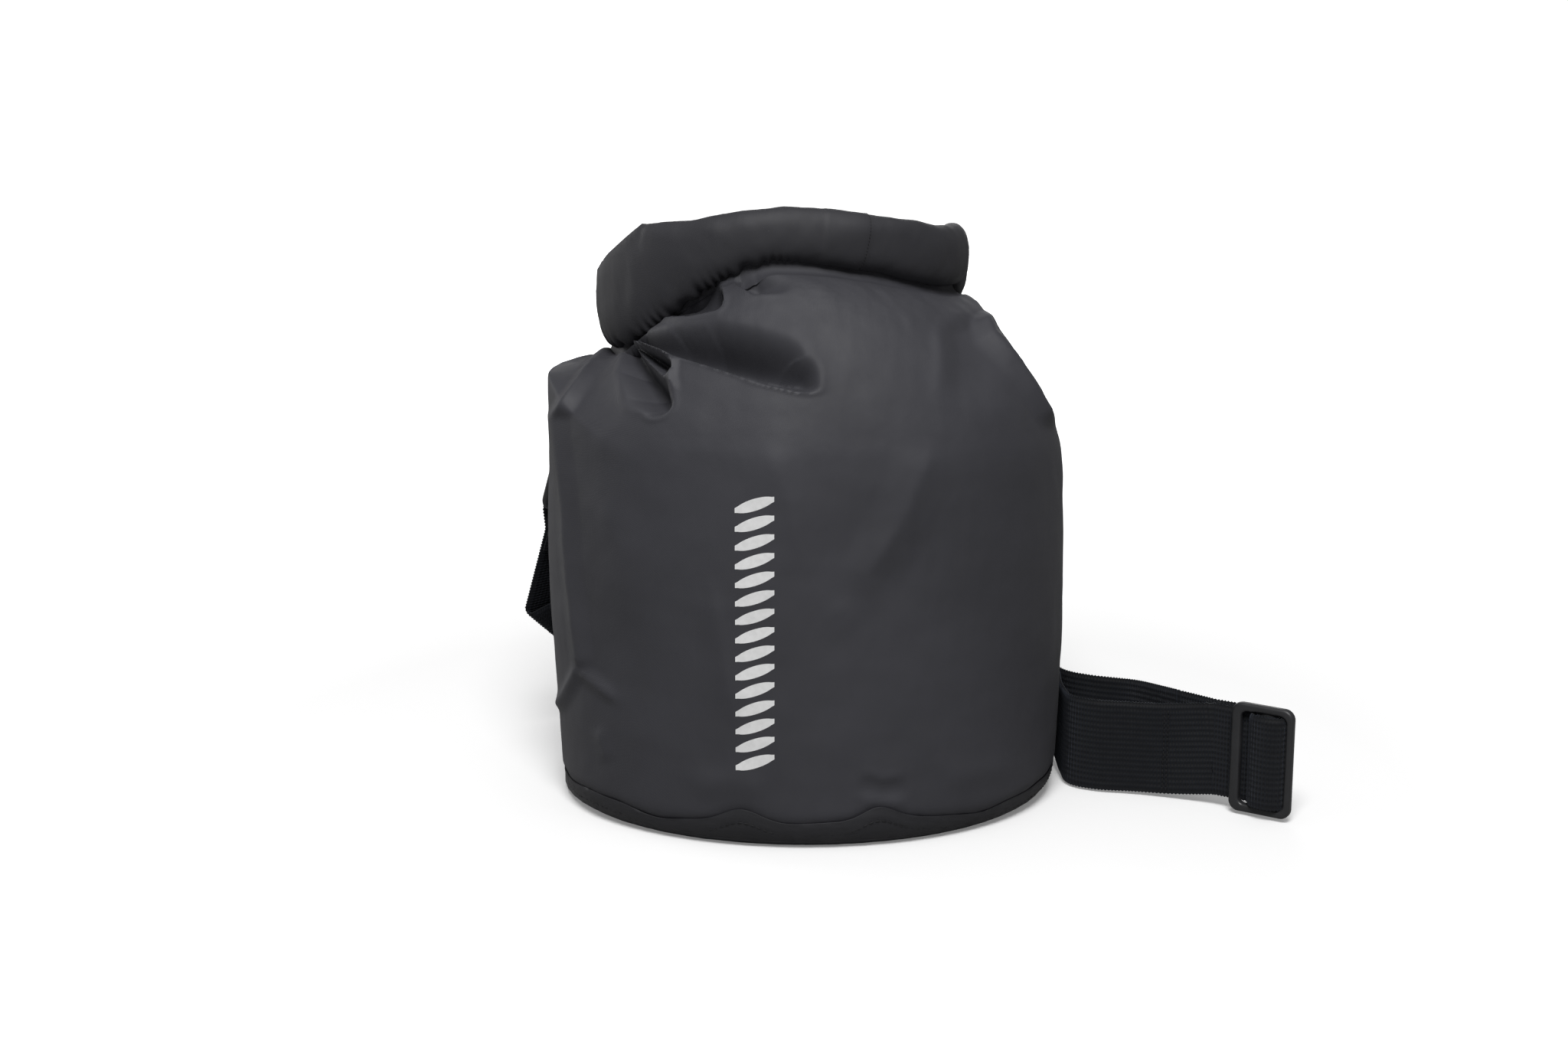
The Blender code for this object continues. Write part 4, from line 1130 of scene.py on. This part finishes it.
def strap_path(folded):
    """The strap's middle line from the fold, behind the bag, through the slider and to the lower ring."""
    last = folded[-1].mean(axis=0)
    heading = unit(last - folded[-3].mean(axis=0))
    wrap = slider_wrap(0, 22 * MM, 24 * MM)[::-1]
    behind = [
        last,
        last + heading * 10 * MM,
        last + heading * 24 * MM + mm(4, 1, 0.5),
        mm(-30, 101.5, 40.5),
        mm(10, 104.5, 35.5),
        mm(52, 101, 28),
        mm(84, 80, 23.0),
        mm(103.5, 52, 20.6),
        mm(110, 30, 20.0),
        mm(121, 21, 20.0),
        mm(136, 14, 20.2),
        wrap[0] - SLIDER_ALONG * 12 * MM + mm(0, 3, 0),
    ]
    hinge, _, along, facing = ring_frame("lower_ring_swing", 0)
    far = hinge + along * RING_LENGTH
    end = hairpin(far, along, facing, 19 * MM, 20 * MM, STRAP_RADIUS, STRAP_LAYER)[::-1]
    front = [
        wrap[-1],
        SEWN_AT,
        mm(131, -17.5, 20.3),
        mm(118, -14.0, 20.0),
        mm(109.0, -7.5, 20.0),
        mm(106.6, 6, 20.6),
        mm(106.0, 24, 22.6),
        mm(102.5, 42, 25.0),
        end[0] + along * 6 * MM,
        end[0],
    ]
    return np.vstack([curve_through(behind)[:-1], wrap, curve_through(front)[1:-1], end])


def strap_grid():
    """The grid over the strap's whole middle, and the row at which the fold ends."""
    hanging, folded, sign = strap_from_ring()
    path = strap_path(folded)
    edge = folded[-1, -1] - folded[-1, 0]
    upright = ease(distances(path) / (55 * MM))[:, None]
    across = unit(unit(edge) * sign * (1 - upright) + DOWN * upright)
    path, across, _ = resample(path, across, RIB_STEP)
    run = swept(smooth_line(path, 4), across, STRAP_WIDTH)
    if np.sum((run[0, -1] - run[0, 0]) * edge) < 0:
        run = run[:, ::-1]
    return np.concatenate([hanging, folded, run[1:]]), len(hanging) + len(folded)


def make_strap():
    grid, fold_end = strap_grid()
    phase = np.arange(len(grid)) / RIB_STEPS
    sag = waves(grid, 55 * MM, 21) * 0.5 * MM
    loose = ease((np.arange(len(grid)) - fold_end) / 60)
    grid += grid_normals(grid) * sag[..., None] * loose[:, None, None]
    middle = grid[:, grid.shape[1] // 2]
    behind = fold_end + int(np.argmin(np.abs(middle[fold_end:, 0] - BEHIND_X)[:BEHIND_ROWS]))
    to_corner = np.linalg.norm(middle - RING_CORNER, axis=1)
    corner = len(grid) - CORNER_ROWS + int(np.argmin(to_corner[-CORNER_ROWS:]))
    made = []
    for name, first, last in (("upper", 0, behind), ("middle", behind, corner), ("lower", corner, len(grid))):
        rows = slice(first, last + 1)
        made.append(weave("strap_" + name, grid[rows], phase[rows], STRAP_THICKNESS, STRAP_ROWS))
    upper, through, lower = made
    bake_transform(upper)
    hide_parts("strap_upper_end", "strap_upper_run")
    blend_to_slider(through)
    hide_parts("strap_slider_turn")
    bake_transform(lower)
    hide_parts("strap_lower_end", "strap_lower_run")


def blend_to_slider(obj):
    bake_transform(obj)


def make_sewn_line():
    """Two rows of thread across the front layer, where the strap's own end is sewn down."""
    heading = unit(at_slider(-22 * MM, SLIDER_FRONT) - SEWN_AT)
    facing = np.cross(heading, -DOWN)
    steps = np.linspace(-1, 1, 40)[:, None] * (STRAP_WIDTH / 2 - 1.2 * MM)
    for k, shift in enumerate((-0.8 * MM, 0.8 * MM)):
        path = SEWN_AT + heading * shift + facing * (STRAP_THICKNESS / 2 + 0.18 * MM) - DOWN * steps
        normals = np.tile(facing, (len(path), 1))
        blend_to_slider(stitches(f"sewn_line_{k + 1}", path, normals, STRAP_STITCH))


def make_sewn_end():
    path = slider_wrap(1, 26 * MM, 27 * MM)
    loop = sweep_webbing("strap_sewn_loop", path, DOWN, STRAP_WIDTH - 0.4 * MM, STRAP_THICKNESS, STRAP_ROWS)
    settle(loop, "slider", "strap_sewn_end")


# Moulded pieces.


def rounded_rectangle(width, height, radius, per_corner=8, per_edge=10):
    """Points round a rectangle with rounded corners, centred at the origin, with the direction out of it."""
    points, normals = [], []
    x, y = width / 2 - radius, height / 2 - radius
    centres = np.array([(x, y), (-x, y), (-x, -y), (x, -y)])
    for k, centre in enumerate(centres):
        for a in np.radians(np.linspace(90 * k, 90 * k + 90, per_corner)):
            out = np.array([math.cos(a), math.sin(a)])
            points.append(centre + radius * out)
            normals.append(out)
        start, end = points[-1], centres[(k + 1) % 4] + radius * out
        for t in np.linspace(0, 1, per_edge + 2)[1:-1]:
            points.append(start * (1 - t) + end * t)
            normals.append(out)
    return np.array(points), np.array(normals)


def to_space(flat, depth, origin, across, upward, facing):
    return origin + flat[..., :1] * across + flat[..., 1:] * upward + depth * facing


def on_slider(flat, depth):
    return to_space(flat, depth, SLIDER_PLACE, SLIDER_ALONG, -DOWN, SLIDER_FACING)


def make_slider():
    """The three-bar slider: a frame with rounded edges and a slim middle bar inside the webbing."""
    outer, _ = rounded_rectangle(SLIDER_WIDTH, SLIDER_HEIGHT, SLIDER_CORNER)
    inner, _ = rounded_rectangle(OPENING[1] - OPENING[0], SLIDER_HEIGHT - 2 * END_BAR, OPENING_CORNER)
    inner = inner + np.array([(OPENING[0] + OPENING[1]) / 2, 0])
    towards = unit(inner - outer)
    flat_half = SLIDER_THICKNESS / 2 - SLIDER_EDGE
    section = []
    for edge, way, start in ((outer, towards, 0), (inner, -towards, 90)):
        for a in np.radians(np.linspace(start, start + 90, 7)):
            flat = edge + way * (SLIDER_EDGE * (1 - abs(math.cos(a))))
            section.append((flat, flat_half + SLIDER_EDGE * math.sin(a)))
    section += [(flat, -depth) for flat, depth in reversed(section)]
    rows = np.array([on_slider(flat, depth) for flat, depth in section])
    slider = grid_object("slider_frame", rows, PLASTIC, wrap_rows=True, wrap_columns=True)
    settle(slider, "slider", "strap_slider")
    turns = np.linspace(0, 2 * math.pi, 24, endpoint=False)
    reach = SLIDER_HEIGHT / 2 - 2 * MM
    rows = []
    for z in np.linspace(-reach, reach, 20):
        flat = np.stack([BAR_AT + MIDDLE_BAR / 2 * 0.95 * np.cos(turns), z + 0 * turns], axis=-1)
        rows.append(on_slider(flat, MIDDLE_BAR_THICKNESS / 2 * np.sin(turns)[:, None]))
    bar = grid_object("slider_middle_bar", np.array(rows), PLASTIC, wrap_columns=True, caps=2)
    settle(bar, "slider", None)


def make_ring(name, joint, lean, body):
    """A moulded loop of oval section."""
    hinge, bar, along, facing = ring_frame(joint, lean)
    loop, normals = rounded_rectangle(RING_WIDTH, RING_LENGTH, 4.5 * MM, 10, 12)
    middle = loop + np.array([0, RING_LENGTH / 2])
    rows = []
    for a in np.linspace(0, 2 * math.pi, 16, endpoint=False):
        flat = middle + normals * (RING_ROD * math.cos(a))
        rows.append(to_space(flat, RING_ROD * 0.92 * math.sin(a), hinge, bar, along, facing))
    ring = grid_object(name, np.array(rows), PLASTIC, wrap_rows=True, wrap_columns=True)
    settle(ring, body, body)


# Pieces that lie on the bag's skin.

SHEET_CORNER = 3 * MM
MARK_LEFT, MARK_RIGHT = -26.7 * MM, -12.0 * MM
MARK_BOTTOM, MARK_TOP = 32 * MM, 139 * MM
MARK_BARS = 15
MARK_SLANT = 5.0 * MM


def draped(skin, origins, directions, clearance):
    """Each origin cast onto the skin along its direction, and left this far above it."""
    flat = origins.reshape(-1, 3)
    ways = np.broadcast_to(directions, origins.shape).reshape(-1, 3)
    out = np.empty_like(flat)
    for i, (origin, way) in enumerate(zip(flat, ways)):
        hit, normal, _, _ = skin.ray_cast(Vector(origin), Vector(way))
        if hit is None:
            out[i] = origin + way * 0.1
            continue
        normal = np.array(normal)
        if np.dot(normal, way) > 0:
            normal = -normal
        out[i] = np.array(hit) + normal * clearance
    return out.reshape(origins.shape)


def wall_origins(turn, z):
    """Points well outside the wall at this turn from the back, positive to the left, and the ways inward."""
    x, y = -HALF_WIDTH * np.sin(turn), HALF_DEPTH * np.cos(turn)
    outward = outward_at(x, y)
    return np.stack([x, y, z], axis=-1) + outward * 30 * MM, -outward


def wall_box(node_name):
    """The turn at which a CAD node lies on the wall, and its lowest and highest z."""
    low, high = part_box(node_name)
    middle = (low + high) / 2
    return math.atan2(-middle.x / HALF_WIDTH, middle.y / HALF_DEPTH), low.z, high.z


def sheet_on_wall(name, skin, place, width, thickness, material, columns=40, rows=40):
    """A thin sheet with rounded corners welded to the wall, at a place as wall_box gives it."""
    turn, low, high = place
    speed = math.hypot(HALF_WIDTH * math.cos(turn), HALF_DEPTH * math.sin(turn))
    half_width, half_height = width / 2, (high - low) / 2
    u, v = np.meshgrid(np.linspace(-1, 1, columns), np.linspace(-1, 1, rows))
    x, y = u * half_width, v * half_height
    over_x = np.maximum(np.abs(x) - (half_width - SHEET_CORNER), 0)
    over_y = np.maximum(np.abs(y) - (half_height - SHEET_CORNER), 0)
    far = np.hypot(over_x, over_y)
    pull = np.where(far > 1e-9, np.maximum(over_x, over_y) / np.maximum(far, 1e-9), 1)
    x = np.sign(x) * (np.abs(x) - over_x * (1 - pull))
    y = np.sign(y) * (np.abs(y) - over_y * (1 - pull))
    origins, ways = wall_origins(turn + x / speed, (low + high) / 2 + y)
    outer, inner = (draped(skin, origins, ways, lift) for lift in (thickness, -0.3 * MM))
    vertices, faces = sheet_solid(outer, inner)
    return mesh_object(name, vertices.tolist(), faces.tolist(), material)


def sheet_solid(outer, inner):
    """Vertices and faces of a closed thin solid between two grids of the same shape."""
    index = np.arange(outer[..., 0].size).reshape(outer.shape[:2])
    quads = quads_of(index)
    rim = np.concatenate([index[0], index[1:, -1], index[-1, -2::-1], index[-2:0:-1, 0]])
    ahead = np.roll(rim, -1)
    sides = np.stack([rim, ahead, ahead + index.size, rim + index.size], axis=-1)
    vertices = np.concatenate([outer.reshape(-1, 3), inner.reshape(-1, 3)])
    return vertices, np.concatenate([quads, quads[:, ::-1] + index.size, sides])


def make_anchor(prefix, joint, lean, patch_width, skin):
    """The patch, the tab with its box of stitches, and the ring."""
    hinge, bar, along, facing = ring_frame(joint, lean)
    place = wall_box(prefix + "_patch")
    patch = sheet_on_wall(prefix + "_patch_fabric", skin, place, patch_width, 0.5 * MM, FABRIC)
    settle(patch, "bag", prefix + "_patch")
    upright = prefix == "upper"
    inward = -DOWN if upright else -along
    outward = np.cross(-DOWN, bar) if upright else facing
    path = hairpin(hinge, inward, outward, 19 * MM, 18 * MM, TAB_RADIUS, TAB_LAYER)
    if not upright:
        path -= outward * wall_drop(np.maximum(0, (path - hinge) @ inward))[:, None]
    tab = tab_webbing(prefix + "_tab_webbing", path, bar)
    settle(tab, "bag", prefix + "_tab")
    make_ring(prefix + "_ring_moulding", joint, lean, prefix + "_ring")
    box_stitches(prefix + "_box_stitching", hinge, inward, bar, outward, not upright)


def tab_webbing(name, path, across):
    return sweep_webbing(name, path, across, TAB_WIDTH, TAB_THICKNESS, TAB_ROWS, TAB_COLUMNS)


def wall_drop(reach):
    """How far the wall curves away from its tangent, this far round from where it touches."""
    return reach**2 * 0.9 / (2 * HALF_WIDTH)


def box_stitches(name, hinge, along, bar, outward, bent):
    """A sewn box with a cross in it, on the tab's outer layer."""
    lift = -TAB_RADIUS + TAB_THICKNESS * 1.5 + LAYER_GAP + 0.1 * MM
    half = TAB_WIDTH / 2 - 2.5 * MM
    near, far = 6.5 * MM, 16.5 * MM
    lines = [
        [(near, -half), (far, -half), (far, half), (near, half), (near, -half)],
        [(near, -half), (far, half)],
        [(near, half), (far, -half)],
    ]
    steps = np.linspace(0, 1, 20)[:, None]
    for k, line in enumerate(np.array(corners) for corners in lines):
        dense = np.vstack([a + (b - a) * steps for a, b in zip(line[:-1], line[1:])])
        path = hinge + along * dense[:, :1] + bar * dense[:, 1:] + outward * lift
        if bent:
            path = path - outward * wall_drop(dense[:, :1])
        normals = np.tile(outward, (len(path), 1))
        stitches(f"{name}_{k + 1}", path, normals, TAB_STITCH, "bag")


def make_back_tape(skin):
    turn, low, high = wall_box("back_seam_tape")
    tape = sheet_on_wall("back_tape", skin, (turn, low - 2 * MM, high), 14 * MM, 0.35 * MM, TAPE, 14, 90)
    settle(tape, "bag", "back_seam_tape")


def make_mark(skin):
    """A plain printed twist of slanted bars down the front."""
    pitch = (MARK_TOP - MARK_BOTTOM) / MARK_BARS
    u, v = np.meshgrid(np.linspace(0, 1, 15), np.linspace(0, 1, 8))
    swell = np.sin(math.pi * np.clip(u, 0.04, 0.96)) ** 0.45
    x = MARK_LEFT + (MARK_RIGHT - MARK_LEFT) * u
    vertices, faces = [], []
    for k in range(MARK_BARS):
        middle = MARK_BOTTOM + pitch * (k + 0.5)
        z = middle + MARK_SLANT * (u - 0.5) + (v - 0.5) * pitch * 0.66 * swell
        origins = np.stack([x, 0 * x - 0.2, z], axis=-1)
        outer, inner = (draped(skin, origins, BACKWARD, lift) for lift in (0.09 * MM, -0.05 * MM))
        bar_vertices, bar_faces = sheet_solid(outer, inner)
        faces += (bar_faces + len(vertices)).tolist()
        vertices += bar_vertices.tolist()
    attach(mesh_object("printed_mark", vertices, faces, INK), "bag")


# The buckle behind, with its two short tabs.

BUCKLE_LOW, BUCKLE_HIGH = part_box("buckle_socket")
_, PLUG_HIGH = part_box("buckle_plug")
BUCKLE_BAR = 2.2 * MM
BUCKLE_TURN = 2.9 * MM


def make_buckle_tabs():
    """Tabs from the buckle's bars to the roll's ends. The left one rides with the closure."""
    y = (BUCKLE_LOW[1] + BUCKLE_HIGH[1]) / 2
    z = (BUCKLE_LOW[2] + BUCKLE_HIGH[2]) / 2
    bars = {"left": (-1.0, BUCKLE_LOW[0] + BUCKLE_BAR / 2), "right": (1.0, PLUG_HIGH[0] - BUCKLE_BAR / 2)}
    for name, (side, x) in bars.items():
        bar = np.array([x, y, z])
        away = np.array([side, 0, 0])
        turn = hairpin(bar, away, BACKWARD, 13 * MM, 14 * MM, BUCKLE_TURN, TAB_LAYER)
        knee = off_roll(side, 3.2 * MM)
        beyond = [off_roll(side * share, 1.8 * MM) for share in (0.965, 0.93)]
        bend = curve_through([turn[-1], turn[-1] * 0.4 + knee * 0.6, knee, *beyond], 8)
        path = np.vstack([turn[:-1], bend])
        tab = tab_webbing(f"buckle_{name}_webbing", path, DOWN)
        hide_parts("buckle_tab_" + name)
        if side < 0:
            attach(tab, "closure")
        else:
            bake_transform(tab)


def off_roll(side, gap):
    """A point this far off the roll's outer face."""
    side = np.array(side)
    return shoe_points(side) + shoe_frames(side)[1] * (ROLL_THICKNESS / 2 + gap)


def finish_kept_nodes():
    kept = {"base_seam_tape": TAPE, "closure_stiffener": STIFFENER}
    for name in ("buckle_socket", "buckle_plug", "buckle_upper_arm", "buckle_lower_arm"):
        kept[name] = PLASTIC
    for name, material in kept.items():
        for slot in frame["nodes"][name].material_slots:
            slot.material = material


# The studio.

FLOOR = 6.0
LIGHTS = {
    # name: place, size, power
    "key": ((-0.02, -1.15, 1.58), 0.8, 31),
    "left": ((-1.3, 0.8, 0.45), 0.8, 4),
    "top": ((0.1, 0.0, 1.9), 1.2, 3),
    "behind": ((0.2, 1.8, 0.45), 1.0, 6),
}


def make_floor():
    """White paper that fades into the background, lit by itself only where the camera looks."""
    corners = [(-FLOOR, -FLOOR, 0), (FLOOR, -FLOOR, 0), (FLOOR, FLOOR, 0), (-FLOOR, FLOOR, 0)]
    mesh = bpy.data.meshes.new("floor")
    mesh.from_pydata(corners, [], [(0, 1, 2, 3)])
    floor = linked(bpy.data.objects.new("floor", mesh))
    floor.location.z = -0.2 * MM
    material, tree, shader = new_material("paper_floor")
    mesh.materials.append(material)
    away = node(tree, "ShaderNodeVectorMath", {0: object_coordinates(tree)}, operation="LENGTH")
    glow = ramp(tree, away.outputs["Value"], 0.17, 1.0, 0.25, 1.4)
    looks = {
        "Base Color": ramp(tree, is_camera_ray(tree), 0.30, 0.93),
        "Roughness": 0.9,
        "Specular IOR Level": 0.1,
        "Emission Color": (1, 1, 1, 1),
        "Emission Strength": math_node(tree, "MULTIPLY", glow, is_camera_ray(tree)),
    }
    feed(tree, shader, looks)


def make_world():
    """White to the camera, and a dim fill for everything else."""
    world = bpy.data.worlds.new("studio")
    world.use_nodes = True
    tree = world.node_tree
    inputs = {"Value": is_camera_ray(tree), "To Min": 0.15, "To Max": 1.05}
    strength = node(tree, "ShaderNodeMapRange", inputs).outputs["Result"]
    feed(tree, tree.nodes["Background"], {"Color": (1, 1, 1, 1), "Strength": strength})
    bpy.context.scene.world = world


def make_studio():
    bpy.context.scene.view_settings.view_transform = "Standard"
    make_floor()
    make_world()
    for name, (place, size, power) in LIGHTS.items():
        light = bpy.data.lights.new(name, "AREA")
        light.shape = "DISK"
        light.size = size
        light.energy = power
        look_at_aim(linked(bpy.data.objects.new(name, light)), place)


def look_at_aim(obj, place):
    """Puts a light or a camera at a place and turns it to the aim."""
    obj.location = place
    obj.rotation_euler = (AIM - Vector(place)).to_track_quat("-Z", "Y").to_euler()


def make_camera():
    camera = bpy.data.cameras.new("camera")
    camera.sensor_width = SENSOR
    camera.lens = LENS
    camera.clip_start = 0.01
    camera.clip_end = 20
    obj = linked(bpy.data.objects.new("camera", camera))
    back = Vector((0, -math.cos(ELEVATION), math.sin(ELEVATION)))
    look_at_aim(obj, AIM + back * DISTANCE)
    bpy.context.scene.camera = obj


def main():
    body = make_body().data
    skin = BVHTree.FromPolygons([v.co for v in body.vertices], [tuple(p.vertices) for p in body.polygons])
    make_cup()
    make_cup_stitches()
    make_roll()
    make_mark(skin)
    make_back_tape(skin)
    make_anchor("upper", "upper_ring_swing", UPPER_LEAN, 32 * MM, skin)
    make_anchor("lower", "lower_ring_swing", 0, 26 * MM, skin)
    make_strap()
    make_sewn_line()
    make_sewn_end()
    make_slider()
    make_buckle_tabs()
    finish_kept_nodes()
    make_studio()
    make_camera()


main()
